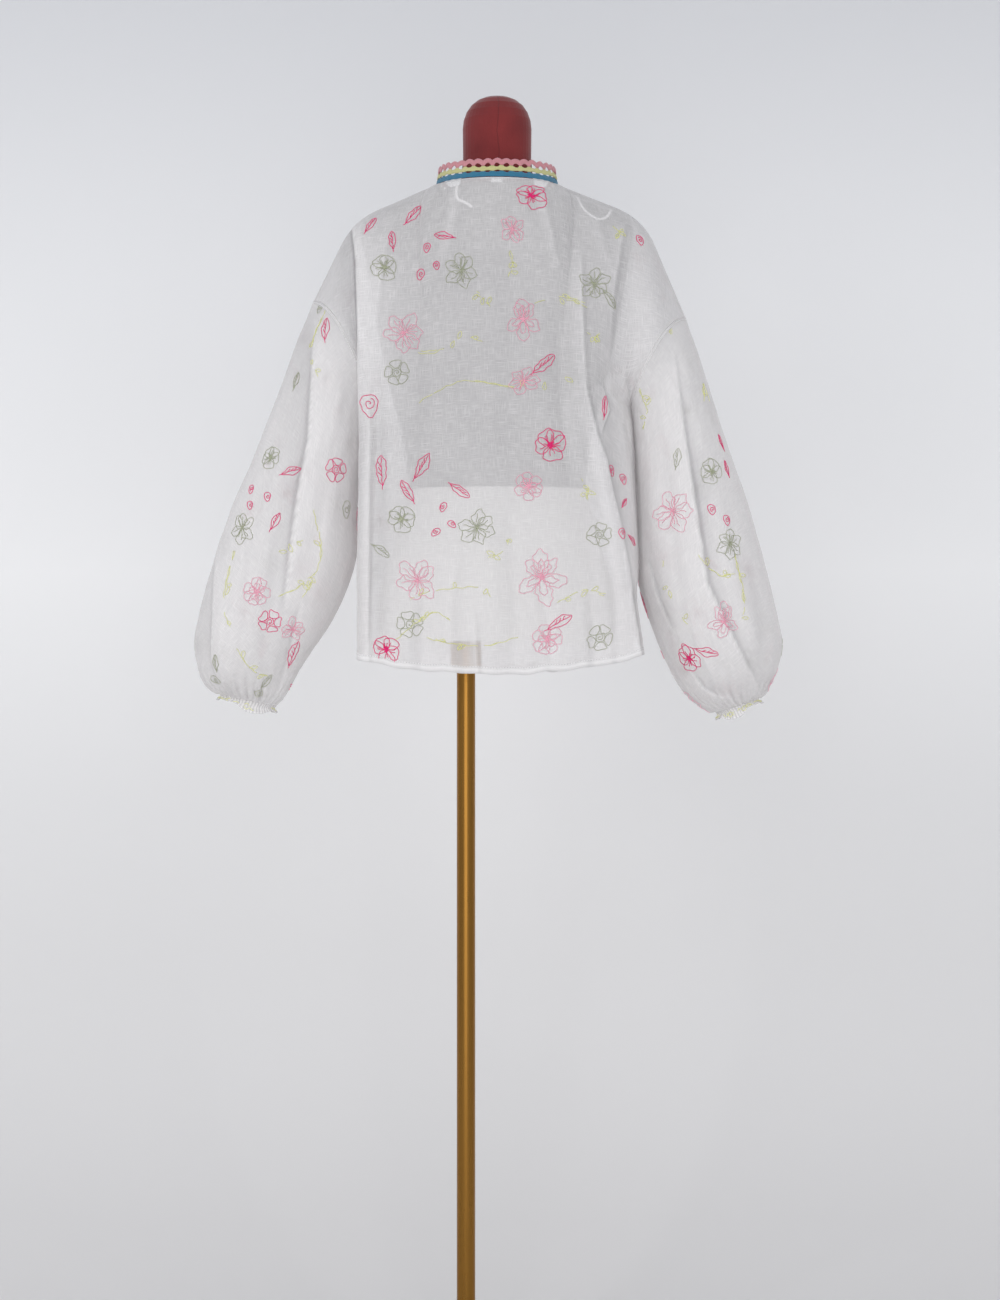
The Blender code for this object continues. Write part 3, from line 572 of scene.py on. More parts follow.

# back and front panels; tone is how strong the painted shade in troughs and the painted light on crests are
panels = {
    "back": {"columns": 260, "rows": (84, 66), "seed": 11, "rumple": 0.3, "tone": (0.62, 0.3), "folds": (
        (((-154, 1570), (-146, 1500), (-143, 1405), (-142, 1270)), 22.0, 5.5, -0.86),
        (((153, 1513), (154, 1446), (157, 1378), (161, 1314)), 10.0, 2.0, 0.5),
        (((186, 1341), (197, 1311), (213, 1279), (227, 1216)), 8.0, 3.0, -0.5),
        (((181, 1333), (190, 1297), (181, 1268)), 7.0, 3.0, 0.7),
        (((211, 1349), (219, 1311), (220, 1257)), 6.0, 2.4, 0.4),
        (((158, 1338), (174, 1264), (186, 1230), (202, 1152), (219, 1049), (231, 973), (238, 906)),
         18.0, 4.2, 0.78),
        (((146, 1311), (162, 1243), (178, 1162), (192, 1081), (200, 987), (202, 906)), 10.0, -1.8, 0.0),
        (((238, 1277), (239, 1189), (236, 1092)), 6.0, 2.2, 0.0),
        (((200, 1318), (211, 1230), (219, 1135), (227, 1041)), 9.0, 8.5, 0.0),
        (((-132, 1338), (-134, 1176), (-135, 906)), 6.0, 1.4, 0.3),
        (((-117, 1446), (-113, 1216), (-116, 906)), 12.0, -0.9, 0.0),
        (((-15, 1122), (-27, 1027), (-24, 906)), 18.0, 1.2, 0.5),
        (((46, 1176), (57, 1054), (53, 906)), 18.0, -1.0, 0.2),
        (((94, 1122), (116, 1014), (124, 906)), 16.0, 1.2, -0.5),
        (((-62, 1054), (-68, 987), (-65, 906)), 10.0, -0.9, 0.0),
        (((8, 1027), (11, 973), (14, 906)), 8.0, 1.0, 0.4),
        (((162, 1054), (167, 987), (170, 906)), 9.0, -1.0, 0.0),
        (((-40, 1597), (-69, 1567), (-132, 1543)), 8.0, 1.0, 0.0),
        (((-96, 1562), (-116, 1497), (-124, 1405)), 8.0, 0.8, 0.3),
        (((127, 1597), (173, 1551), (197, 1478)), 10.0, 1.0, 0.3),
        (((211, 1551), (197, 1459), (189, 1365), (197, 1284)), 10.0, 1.6, 0.5),
        (((-15, 1600), (-19, 1561), (-35, 1497)), 9.0, 0.6, 0.0),
        (((100, 1603), (107, 1561), (122, 1489)), 9.0, 0.7, 0.3),
        (((-62, 1446), (-57, 1338), (-65, 1243)), 14.0, -0.6, 0.0),
        (((46, 1513), (50, 1378), (43, 1230)), 14.0, -0.5, 0.0),
        (((116, 1446), (122, 1311), (135, 1176)), 12.0, -0.9, 0.2),
    )},
    "front": {"columns": 190, "rows": (70, 56), "seed": 23, "rumple": 0.45, "tone": (0.7, 0.3), "folds": (
        (((-60, 1520), (-70, 1350), (-80, 1150), (-85, 900)), 18.0, 4.6, 0.7),
        (((40, 1480), (30, 1300), (40, 1100), (38, 900)), 16.0, -3.0, 0.2),
        (((120, 1500), (135, 1330), (150, 1150), (158, 900)), 16.0, 4.6, -0.7),
        (((-130, 1470), (-128, 1300), (-120, 1120), (-122, 900)), 10.0, -2.8, 0.1),
        (((190, 1420), (205, 1250), (212, 1080), (214, 900)), 10.0, 3.0, 0.6),
        (((84, 1250), (92, 1100), (96, 900)), 13.0, -2.6, 0.0),
        (((-20, 1200), (-24, 1080), (-22, 900)), 12.0, 2.8, 0.6),
        (((225, 1560), (210, 1480), (206, 1400)), 12.0, 3.0, 0.6),
        (((-135, 1560), (-120, 1480), (-118, 1400)), 12.0, 3.0, -0.6),
    )},
}


# how far down (0 to 1) and in from a side (0 to 1) the cloth is still, and the hem's turned edge, in mm
finishing = {
    "bunch": 1.15, "calmDown": 0.35, "calmIn": 0.16, "heldDown": (0.02, 0.16), "heldIn": 0.06,
    "upperCalm": 0.25, "looseDown": (0.3, 1.1), "hollowStep": 1.7,
    "hemTurn": (8.5, 11.0), "hemSwell": 0.6, "lump": 0.12, "lumps": 6, "lumpWaves": (6.0, 46.0),
    "lumpIn": 0.04, "dip": 0.75, "dipHeight": 40.0, "dipIn": 0.1, "cornerHeight": 240.0,
    # where the cloth is doubled at a seam: rows and columns as counts, and how dense hem and side seams look
    "seamRows": (3.0, 6.0), "rowCount": 400.0, "seamColumns": (0.8, 2.4), "columnCount": 320.0,
    "hemDense": 0.95, "sideDense": 0.7,
}


def makePanel(side):
    # The plain panel, moved along its normals by the folds, a rumple and the hem's roll, then the hem's dips
    facts, edge = panels[side], finishing
    upper = np.linspace(0.0, 1.0, facts["rows"][0] + 1) ** edge["bunch"]
    down = np.concatenate([upper, np.linspace(1.0, 2.0, facts["rows"][1] + 1)[1:]])
    across = np.linspace(-1.0, 1.0, facts["columns"] + 1)
    base = panelGrid(side, across, down)
    sign = 1.0 if side == "back" else -1.0
    normal = -sign * gridNormals(base)
    uv = wovenMap(base, -sign)
    share, deep = np.abs(across)[None, :], down[:, None]
    inwards = 1.0 - share
    # nothing moves at the seams, and the form holds the upper back smooth
    calm = rise(deep, 0.0, edge["calmDown"]) * rise(inwards, 0.0, edge["calmIn"])
    lower = edge["upperCalm"] + (1.0 - edge["upperCalm"]) * rise(deep, *edge["looseDown"])
    held = rise(deep, *edge["heldDown"]) * rise(inwards, 0.0, edge["heldIn"])
    folds, beside = (field * held for field in foldRelief(seenPlace(base), facts["folds"]))
    rumple = softRumple(uv[..., 0] / mm, uv[..., 1] / mm, facts["seed"], facts["rumple"])
    height = folds + rumple * calm * lower
    lift = (2.0 - deep) * (cut["underarm"] - cut["hem"])      # mm up from the hem
    turned = (1.0 - rise(lift, *edge["hemTurn"])) * np.ones_like(share)
    draws = np.random.default_rng(facts["seed"] + 5)
    lumps = sum(np.sin(across * draws.uniform(*edge["lumpWaves"]) + anyPhase(draws))
                for _ in range(edge["lumps"]))[None, :]
    height += turned * (edge["hemSwell"] + edge["lump"] * lumps) * rise(inwards, 0.0, edge["lumpIn"])
    grid = base + normal * height[..., None]
    dips = edge["dip"] * lumps * rise(inwards, 0.0, edge["dipIn"])
    grid[..., 2] += (1.0 - rise(lift, 0.0, edge["dipHeight"])) * dips
    corners = share ** 2 * np.where(across < 0.0, *cut["hemSides"]) - cut["hemSag"] * (1.0 - share ** 2)
    grid[..., 2] += (1.0 - rise(lift, 0.0, edge["cornerHeight"])) * corners
    topSeam = 1.0 - rise(deep * edge["rowCount"] * np.ones_like(share), *edge["seamRows"])
    sideSeam = (1.0 - rise(inwards * edge["columnCount"], *edge["seamColumns"])) * np.ones_like(deep)
    doubled = np.maximum(np.maximum(topSeam, edge["hemDense"] * turned), edge["sideDense"] * sideSeam)
    faces = -sign * gridNormals(grid)
    # the fold shading field is painted shade in troughs and beside steep flanks, and painted light on crests
    return {"across": across, "down": down, "base": base, "grid": grid, "normal": faces, "uv": uv,
            "hollow": paintedFoldShading(folds, edge["hollowStep"], facts["tone"], beside),
            # opacity of doubled seams and hem, and of cloth turned sideways, which is partly painted light
            "doubled": np.maximum(doubled, turnedAway(faces))}


cloths = {side: makePanel(side) for side in ("back", "front")}


def showPanel(side):
    # The panel's grid as a mesh with the cloth's map and fields, and a wall as thick as the cloth
    data = cloths[side]
    rows, columns = len(data["down"]) - 1, len(data["across"]) - 1
    quads = gridQuads(rows, columns)
    points = data["grid"].reshape(-1, 3)
    uv, doubled, hollow = data["uv"].reshape(-1, 2), data["doubled"].ravel(), data["hollow"].ravel()
    if side == "back":
        quads = quads[:, ::-1]
    else:
        # The centre column is doubled down to the foot of the neck slit
        middle, width = columns // 2, columns + 1
        fall = np.linalg.norm(np.diff(data["grid"][:, middle], axis=0), axis=1).cumsum()
        slit = np.arange(int(np.searchsorted(fall, cut["slit"])) + 1) * width + middle
        extra = points[slit] + np.array([0.5 * cut["slitWidth"], 0.0, 0.0])
        points = points.copy()
        points[slit, 0] -= 0.5 * cut["slitWidth"]
        renumber = np.arange(len(points))
        renumber[slit] = len(points) + np.arange(len(slit))
        rightHalf = (quads.min(axis=1) % width) >= middle
        quads = np.where(rightHalf[:, None], renumber[quads], quads)
        points = np.vstack([points, extra])
        uv = np.vstack([uv, uv[slit]])
        doubled, hollow = np.concatenate([doubled, doubled[slit]]), np.concatenate([hollow, hollow[slit]])
    piece = makeMesh("voile_" + side, points, quads, voileBody, uv, {"doubled": doubled, "hollow": hollow})
    addWall(piece, cut["cloth"])
    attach(piece, "root")
    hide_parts(side + "_panel")
    return piece


backPanel, frontPanel = showPanel("back"), showPanel("front")
print("panels done")

# sleeves, gathered at the cuffs; tone is how strong the painted shade in troughs and the painted light on
# crests are
sleeves = {
    "left": {"columns": 200, "rows": 112, "seed": 31, "rumple": 0.4, "tone": (0.45, 0.3), "folds": (
        (((-201, 1439), (-205, 1351), (-211, 1257), (-224, 1191), (-236, 1100), (-243, 1025)),
         20.0, 6.0, -0.82),
        (((-184, 1392), (-190, 1243), (-205, 1149), (-224, 1041)), 12.0, -1.4, 0.0),
        (((-333, 1129), (-339, 1041), (-342, 960), (-329, 917)), 11.0, 3.2, -0.78),
        (((-296, 1216), (-312, 1068), (-321, 960), (-312, 906)), 15.0, 1.8, 0.4),
        (((-255, 1149), (-274, 1014), (-285, 906)), 12.0, -1.4, 0.0),
        (((-220, 1041), (-235, 973), (-256, 901)), 13.0, 3.4, -0.72),
        (((-161, 1338), (-162, 1203), (-174, 1095), (-197, 1014)), 13.0, 1.8, 0.4),
        (((-255, 1311), (-281, 1203), (-297, 1122)), 14.0, 1.4, 0.3),
        (((-184, 1203), (-194, 1108), (-216, 1014)), 10.0, 1.4, -0.4),
        (((-325, 1041), (-331, 973), (-316, 919)), 8.0, 1.5, 0.3),
    )},
    "right": {"columns": 200, "rows": 112, "seed": 37, "rumple": 0.4, "tone": (0.5, 0.3), "folds": (
        (((278, 1378), (290, 1284), (324, 1061), (358, 990), (371, 964), (401, 906)), 20.0, 5.6, 0.8),
        (((267, 1284), (294, 1061), (327, 987), (351, 919)), 11.0, -1.4, 0.0),
        (((302, 946), (321, 921), (339, 911), (362, 909)), 7.0, 3.4, 0.72),
        (((243, 1095), (259, 1041), (278, 1000)), 9.0, 3.2, 0.7),
        (((235, 1324), (248, 1216), (256, 1095)), 14.0, 2.0, 0.5),
        (((255, 1338), (273, 1216), (284, 1095), (302, 987)), 9.0, -1.3, 0.0),
        (((338, 1176), (364, 1054), (393, 973)), 14.0, 1.8, 0.5),
        (((379, 1095), (398, 1014), (400, 946)), 9.0, -1.6, 0.0),
        (((284, 1405), (302, 1311), (324, 1230)), 14.0, 1.4, 0.4),
        (((302, 1041), (319, 973), (348, 919)), 9.0, 1.6, -0.4),
    )},
}


# rumple of a sleeve, waves on its hidden side, pleats gathered at its cuff with the painted shade they get,
# and how dense its seams look.
# Pairs are shares of the way down over which something sets in, or a lowest and a highest value
gathering = {
    "length": 520.0, "breadth": 120.0, "rumple": 0.8, "freeTop": 0.1, "freeEnd": 0.04, "rear": (-0.15, 0.35),
    "hiddenWaves": (5, 7, 8, 11), "hiddenHeight": (0.8, 1.8), "hiddenTwist": 1.5,
    "pleatFrom": (0.72, 0.985), "pleatEnd": (-0.02, 0.03), "pleats": 9.5, "pleatPower": 0.8,
    "pleatMean": 0.75, "pleatHeight": 2.6, "pleatTone": 0.25, "fineWaves": 31.0, "fine": 0.45,
    "wideGirth": 260.0, "narrow": 0.6,
    "seam": (0.6, 2.6), "seamDense": 0.7, "cuffSeam": (0.975, 0.99), "cuffDense": 0.3, "hollowStep": 2.4,
}


def makeSleeve(hand):
    # The plain sleeve, moved along its normals by the folds, hidden waves, a rumple and the cuff's gathers
    facts = sleeves[hand]
    along = np.linspace(0.0, 1.0, facts["rows"] + 1)
    around = np.arange(facts["columns"]) / facts["columns"]
    base = sleeveGrid(hand, along, around)
    turn = -1.0 if hand == "left" else 1.0
    normal = turn * gridNormals(base, closed=True)
    ring = np.concatenate([base, base[:, :1]], axis=1)
    far = along[:, None]
    girth = 2.0 * math.pi * around[None, :]
    free = rise(far, 0.0, gathering["freeTop"]) * rise(1.0 - far, 0.0, gathering["freeEnd"])
    rear = rise(-normal[..., 1], *gathering["rear"])      # folds show on the side that is seen
    folds, beside = (field * rear * free for field in foldRelief(seenPlace(base), facts["folds"]))
    draws = np.random.default_rng(facts["seed"])
    twist = gathering["hiddenTwist"]
    hidden = sum(draws.uniform(*gathering["hiddenHeight"])
                 * np.sin(count * girth + anyPhase(draws) + far * draws.uniform(-twist, twist))
                 for count in gathering["hiddenWaves"])
    rumple = softRumple(gathering["breadth"] * np.cos(girth) * np.ones_like(far),
                        far * gathering["length"] * np.ones_like(girth), facts["seed"], facts["rumple"])
    # gathers: uneven pleats that deepen towards the cuff
    gather = rise(far, *gathering["pleatFrom"]) * rise(1.0 - far, *gathering["pleatEnd"])
    phase = girth + 0.05 * np.sin(3.0 * girth + 1.0) + 0.04 * np.sin(7.0 * girth + 2.0)
    pleats = np.abs(np.sin(gathering["pleats"] * phase + 0.6 * np.sin(2.0 * girth)))
    pleats = pleats ** gathering["pleatPower"]
    pleats = pleats + gathering["fine"] * np.sin(gathering["fineWaves"] * girth + 5.0 * far)
    girthAt = np.linalg.norm(np.diff(ring, axis=1), axis=-1).sum(axis=1)[:, None]
    gathers = (pleats - gathering["pleatMean"]) * gathering["pleatHeight"] * gather
    gathers = gathers * np.clip(girthAt / gathering["wideGirth"], gathering["narrow"], 1.0)
    height = folds + hidden * (1.0 - rear) * free + rumple * free * gathering["rumple"] + gathers
    grid = base + normal * height[..., None]
    armSeam = gathering["seamDense"] * (1.0 - rise(far * gathering["length"], *gathering["seam"]))
    cuffSeam = gathering["cuffDense"] * rise(far, *gathering["cuffSeam"])
    doubled = np.maximum(armSeam, cuffSeam) * np.ones_like(girth)
    faces = turn * gridNormals(grid, closed=True)
    # painted shade in the troughs of folds and pleats, and painted light on their crests
    shading = folds + gathering["pleatTone"] * gathers
    return {"around": around, "base": base, "grid": grid, "normal": faces, "uv": clothMap(ring),
            "hollow": paintedFoldShading(shading, gathering["hollowStep"], facts["tone"], beside),
            # opacity of doubled seams, and of cloth turned sideways, which is partly painted light
            "doubled": np.maximum(doubled, turnedAway(faces))}


def showSleeve(hand):
    # The seam column is doubled, so that the cloth's map doesn't run backwards across it
    data = cloths[hand] = makeSleeve(hand)
    ring = np.concatenate([data["grid"], data["grid"][:, :1]], axis=1)
    rows, columns = ring.shape[0] - 1, ring.shape[1] - 1
    way = -1 if hand == "left" else 1
    piece = makeMesh("voile_sleeve_" + hand, data["grid"], gridQuads(rows, columns, closed=True)[:, ::way],
                     voileSleeve, None, {"doubled": data["doubled"], "hollow": data["hollow"]})
    layUv(piece.data, data["uv"].reshape(-1, 2)[gridQuads(rows, columns)[:, ::way].ravel()])
    addWall(piece, cut["cloth"])
    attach(piece, "root")
    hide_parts("sleeve_" + hand)
    return piece


sleevePieces = {hand: showSleeve(hand) for hand in ("left", "right")}
print("sleeves done")

# collar: three rows of wavy braid that touch at their crests, with lens holes between
collar = {
    "pitch": 13.0, "wall": 1.1, "lean": 0.146, "steps": 18, "levels": 7, "open": -0.55,
    "firm": 0.18, "tooth": 0.16, "swell": 0.55, "bead": 0.25, "drift": (0.3, 0.25),
    # node, join below, join above, eye into the row from below, eye from above, scallop on top, slot
    "rows": (
        ("collar_braid_blue", 0.3, 8.0, 0.5, 1.7, 0.0, "blue_braid"),
        ("collar_braid_yellow", 8.3, 15.4, 1.1, 2.5, 0.0, "yellow_braid"),
        ("collar_braid_pink", 15.7, 22.4, 3.4, 0.0, 2.5, "pink_braid"),
    ),
    "tints": {"blue_braid": (52, 134, 166), "yellow_braid": (222, 219, 158), "pink_braid": (228, 164, 170)},
    # shades: painted shade in the recesses between the stitches
    "shades": {"blue_braid": (24, 98, 134), "yellow_braid": (184, 182, 118), "pink_braid": (190, 112, 124)},
    # waves of the yarn's stitches to a metre, along and across the braid, and of its fuzz
    "stitches": (4200.0, 2400.0), "fuzz": 900.0,
}


def neckRing():
    # Once round the neckline from one side of the front slit to the other
    share = np.linspace(0.0, cut["neckShare"], 90)
    front = [topEdge("front", -share), topEdge("front", share)]
    back = topEdge("back", np.linspace(-cut["neckShare"], cut["neckShare"], 179))
    ring = np.vstack([front[0], back, front[1][::-1]])
    ring[0, 0] -= 0.5 * cut["slitWidth"]
    ring[-1, 0] += 0.5 * cut["slitWidth"]
    return ring


def makeBraid(name):
    # Crocheted yarn: slanted stitches both ways on the braid's own map, with painted shade in the stitches'
    # recesses and a random fuzz of tone
    tint, shade = paint(*collar["tints"][name]), paint(*collar["shades"][name])
    made = Finish(name, tint, 0.85, Sheen_Weight=0.3)
    along = made.part(made.ownMap(), "X") * collar["stitches"][0]
    across = made.part(made.ownMap(), "Y") * collar["stitches"][1]
    stitch = (along + across).math("SINE") * (along - across).math("SINE")
    depth = (stitch * 0.35 + 0.5) * 0.7 + made.noise(made.place(), collar["fuzz"]) * 0.3
    made.set("Base Color", made.mix(depth, shade, tint))
    made.bump(depth, 0.0008)
    return made.material


def showCollar():
    # Bands between two wavy lines: each edge is level, less the lens holes, and bulges out by a parabola
    made = []
    ring = neckRing()
    length = np.linalg.norm(np.diff(ring, axis=0), axis=1).sum()
    count = int(round(length / collar["pitch"]))
    foot = alongPath(ring, np.linspace(0.0, 1.0, count * collar["steps"] + 1))
    outwards = foot * np.array([1.0, 1.0, 0.0])
    outwards /= np.linalg.norm(outwards, axis=1)[:, None]
    turn = 2.0 * math.pi * np.arange(len(foot)) / collar["steps"]
    level = np.linspace(1.0, -1.0, collar["levels"])[:, None]
    share = 0.5 + 0.5 * level
    draws = np.random.default_rng(2)
    slow, quick = collar["drift"]
    drift = slow * np.sin(turn * 0.31 + anyPhase(draws)) + quick * np.sin(turn * 0.83 + anyPhase(draws))
    for node, low, high, fromBelow, fromAbove, scallop, slotName in collar["rows"]:
        opened = (np.cos(turn + 0.5 * drift) - collar["open"]) / (1.0 - collar["open"])
        hole = np.sqrt(np.clip(opened, 0.0, 1.0))
        hole = hole * (1.0 + collar["firm"] * np.sin(turn * 0.47 + anyPhase(draws)))
        wander = drift * (low > 1.0)      # the lowest row stays on the neckline
        top = high - fromAbove * hole + scallop * np.abs(np.cos(0.5 * turn)) + wander
        top = top + collar["tooth"] * np.sin(5.0 * turn)
        bottom = low + fromBelow * hole + wander
        up = bottom * (1.0 - share) + top * share
        swell = collar["swell"] * (1.0 - level ** 2) + collar["bead"] * np.cos(turn) * level
        grid = (foot[None] + outwards[None] * (swell - collar["lean"] * up)[..., None]
                + np.array([0.0, 0.0, 1.0]) * up[..., None])
        uv = np.stack([np.broadcast_to(np.linspace(0.0, length, len(foot)), up.shape), up], axis=-1) * mm
        quads = gridQuads(collar["levels"] - 1, len(foot) - 1)
        piece = makeMesh(slotName.replace("_braid", "_edging"), grid, quads, makeBraid(slotName), uv)
        addWall(piece, collar["wall"])
        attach(piece, "root")
        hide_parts(node)
        made.append(piece)
    return made


edgings = showCollar()

# cuffs: narrow shirred bands with a tiny ruffle, drawn in at a share of their height
cuffs = {
    "height": 12.0, "gap": 0.4, "columns": 220, "rows": 16, "pleats": 24, "wall": 0.6,
    "seed": {"left": 41, "right": 43},
    "drawnAt": 0.42, "drawnWidth": 0.3, "drawnIn": 2.2, "flare": 1.6, "flareFrom": (0.55, 1.0),
    "pleatOut": 0.9, "rufflePleat": 0.9, "ruffleFrom": (0.5, 1.0), "plainDense": 0.12, "drawnDense": 0.2,
    # the band hangs lowest at one side, and its edge waves: shares of the height
    "hang": 0.55, "low": 0.7, "lowAt": 0.35, "lowWidth": 0.5, "edgeWaves": (0.1, 0.07),
    # the cloth's map, and how strong the painted shade in the pleats' troughs and the painted light on their
    # crests are
    "mapWidth": 0.2, "mapHeight": 0.012, "shaded": (0.5, 0.6), "pleatMean": 0.8, "hollowStep": 0.9,
}


def showCuff(hand):
    # The sleeve's last ring carried on along its own fall, pleated all round and drawn in at the middle
    around = np.arange(cuffs["columns"]) / cuffs["columns"]
    angle = 2.0 * math.pi * around
    outerX, outerZ, innerX, innerZ, depth, middleY = cut["sleeves"][hand][-1]
    slope = np.array([outerX - innerX, 0.0, outerZ - innerZ])
    reach, slope = 0.5 * slope, slope / np.linalg.norm(slope)
    fall = np.array([slope[2], 0.0, -slope[0]])
    fall *= -math.copysign(1.0, fall[2])
    middle = np.array([0.5 * (outerX + innerX), middleY, 0.5 * (outerZ + innerZ)])
    spoke = np.cos(angle)[:, None] * reach + np.sin(angle)[:, None] * np.array([0.0, -depth, 0.0])
    outwards = spoke / np.linalg.norm(spoke, axis=1)[:, None]
    far = np.linspace(0.0, 1.0, cuffs["rows"] + 1)[:, None]
    draws = np.random.default_rng(cuffs["seed"][hand])
    phase = cuffs["pleats"] * angle + 0.8 * np.sin(3.0 * angle + anyPhase(draws)) + 0.5 * np.sin(5.0 * angle)
    pleat = np.abs(np.sin(0.5 * phase)) * (1.0 + 0.5 * np.sin(2.0 * angle + 1.0))
    pleat = pleat + 0.25 * np.sin(2.3 * phase + 3.0 * far)
    drawn = np.exp(-((far - cuffs["drawnAt"]) / cuffs["drawnWidth"]) ** 2)
    waist = cuffs["flare"] * rise(far, *cuffs["flareFrom"]) - cuffs["drawnIn"] * drawn
    swell = waist + pleat * (cuffs["pleatOut"] + cuffs["rufflePleat"] * rise(far, *cuffs["ruffleFrom"]))
    hang = cuffs["hang"] + cuffs["low"] * np.exp(-((np.cos(angle) + cuffs["lowAt"]) / cuffs["lowWidth"]) ** 2)
    slow, quick = cuffs["edgeWaves"]
    hang = hang + slow * np.sin(4.0 * angle + 1.0) + quick * np.sin(9.0 * angle)
    drop = cuffs["gap"] + cuffs["height"] * far * hang
    grid = middle + spoke[None] + outwards[None] * swell[..., None] + fall * drop[..., None]
    uv = np.stack([np.broadcast_to(around * cuffs["mapWidth"], grid.shape[:2]),
                   np.broadcast_to(far * cuffs["mapHeight"], grid.shape[:2])], axis=-1)
    way = -1 if hand == "left" else 1
    quads = gridQuads(cuffs["rows"], cuffs["columns"], closed=True)[:, ::way]
    dense = (cuffs["plainDense"] + cuffs["drawnDense"] * drawn) * np.ones_like(pleat)
    # painted shade in the pleats' troughs and painted light on their crests
    hollow = paintedFoldShading(0.5 * (pleat - cuffs["pleatMean"]), cuffs["hollowStep"], cuffs["shaded"])
    fields = {"doubled": dense, "hollow": hollow}
    piece = makeMesh("shirred_cuff_" + hand, grid, quads, voileSleeve, uv, fields)
    cloths["cuff " + hand] = {"grid": grid, "around": around, "normal": way * gridNormals(grid, closed=True)}
    addWall(piece, cuffs["wall"])
    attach(piece, "root")
    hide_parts("cuff_" + hand)
    return piece


cuffPieces = {hand: showCuff(hand) for hand in ("left", "right")}
print("collar and cuffs done")

# label and hanging tapes on the wrong side of the back
lining = {
    "step": 1.6, "tapeHalf": 2.0, "tapeWall": 0.5, "tapePoints": 40,
    "labelAcross": (-0.023, 0.02), "labelDown": (0.008, 0.042), "labelPoints": (10, 15),
    # seen x and z in mm from the pole
    "tapes": {
        "hanging_tape_left": ((-14, 1604), (-14, 1594), (-12, 1585), (-4, 1581), (5, 1574)),
        "hanging_tape_right": ((151, 1589), (158, 1578), (166, 1567), (176, 1561), (186, 1557), (194, 1562),
                               (200, 1573)),
    },
}
tapeFinish = Finish("white tape", paint(252, 252, 252), 0.6, Sheen_Weight=0.2)
tapeFinish.bump(tapeFinish.noise(tapeFinish.place(), 1400.0, 1.0), 0.0002, 0.6)


def panelPlace(data, across, down):
    # The row and column of a panel's grid at a place across and down
    row = np.interp(down, data["down"], np.arange(len(data["down"])))
    column = np.interp(across, data["across"], np.arange(len(data["across"])))
    return row, column


def showLining():
    # Ribbons square to a smooth line, and a rectangle of the panel, both set in from the cloth by a step
    data = cloths["back"]
    made = []
    for name, line in lining["tapes"].items():
        spots = np.array([seenSpot(data, x, z)[:2] for x, z in line])
        spots = smoothRows(spots, np.linspace(0.0, len(line) - 1.0, lining["tapePoints"]))
        middle, normal = sampled(data, spots[:, 0], spots[:, 1])
        middle = middle - normal * lining["step"]
        heading = np.gradient(middle, axis=0)
        heading /= np.linalg.norm(heading, axis=1)[:, None]
        beside = np.cross(normal, heading)
        level = np.linspace(-1.0, 1.0, 5)[None, :, None]
        grid = middle[:, None] + beside[:, None] * level * lining["tapeHalf"]
        quads = gridQuads(lining["tapePoints"] - 1, 4)
        piece = makeMesh(name.replace("hanging_tape", "tape"), grid, quads, tapeFinish.material)
        addWall(piece, lining["tapeWall"])
        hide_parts(name)
        made.append(piece)
    rows, columns = lining["labelPoints"]
    down, across = np.linspace(*lining["labelDown"], rows), np.linspace(*lining["labelAcross"], columns)
    deep, wide = np.meshgrid(down, across, indexing="ij")
    points, normal = sampled(data, *panelPlace(data, wide.ravel(), deep.ravel()))
    quads = gridQuads(rows - 1, columns - 1)[:, ::-1]
    piece = makeMesh("blank_label", points - normal * lining["step"], quads, tapeFinish.material)
    addWall(piece, lining["tapeWall"])
    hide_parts("neck_label")
    made.append(piece)
    for piece in made:
        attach(piece, "root")
    return made


# button and its thread loop at the front slit
closure = {
    "across": 0.022, "down": 0.05, "foot": 0.5, "thread": 0.6, "clear": 0.5, "spokes": 40, "edge": 0.35,
    "reach": 2.5, "loopEnd": -12.0, "loopHalf": (1.6, 1.9), "loopPoints": 80, "loopSides": 12,
    # radius and height of the button's half outline
    "outline": ((0.0, 0.5), (1.5, 0.5), (1.5, 2.9), (4.4, 2.9), (4.9, 3.3), (5.0, 3.9), (4.8, 4.7),
                (4.3, 5.05), (3.7, 4.9), (2.4, 4.6), (0.0, 4.5)),
}


def lathe(outline, spokes):
    # Rings of an outline turned about the height axis; the poles are single points merged from their rings
    turn = 2.0 * math.pi * np.arange(spokes) / spokes
    outline = np.asarray(outline, float)
    return np.stack([outline[:, :1] * np.cos(turn), outline[:, :1] * np.sin(turn),
                     np.broadcast_to(outline[:, 1:], (len(outline), spokes))], axis=-1)


def mergePoints(piece):
    # Points in the same place become one, and faces look outwards
    work = bmesh.new()
    work.from_mesh(piece.data)
    bmesh.ops.remove_doubles(work, verts=work.verts, dist=1e-6)
    bmesh.ops.recalc_face_normals(work, faces=work.faces)
    work.to_mesh(piece.data)
    work.free()


def roundedOutline(outline):
    # The outline with its corners rounded, as on a path
    flat = np.column_stack([np.asarray(outline, float), np.zeros(len(outline))])
    return roundedPath(flat, closure["edge"], 4)[:, :2]


def tubeMesh(name, line, radius, finish, lean, sides):
    # Circles square to a path, joined ring by ring, with a fan of quads closing each end
    heading = np.gradient(line, axis=0)
    heading /= np.linalg.norm(heading, axis=1)[:, None]
    beside = np.cross(heading, lean)
    beside /= np.linalg.norm(beside, axis=1)[:, None]
    above = np.cross(beside, heading)
    turn = 2.0 * math.pi * np.arange(sides)[:, None] / sides
    body = line[:, None] + (beside[:, None] * np.cos(turn) + above[:, None] * np.sin(turn)) * radius
    ends = [np.repeat(line[[end], None], sides, axis=1) for end in (0, -1)]
    grid = np.concatenate([ends[0], body, ends[1]])
    piece = makeMesh(name, grid, gridQuads(len(grid) - 1, sides, closed=True), finish)
    mergePoints(piece)
    return piece


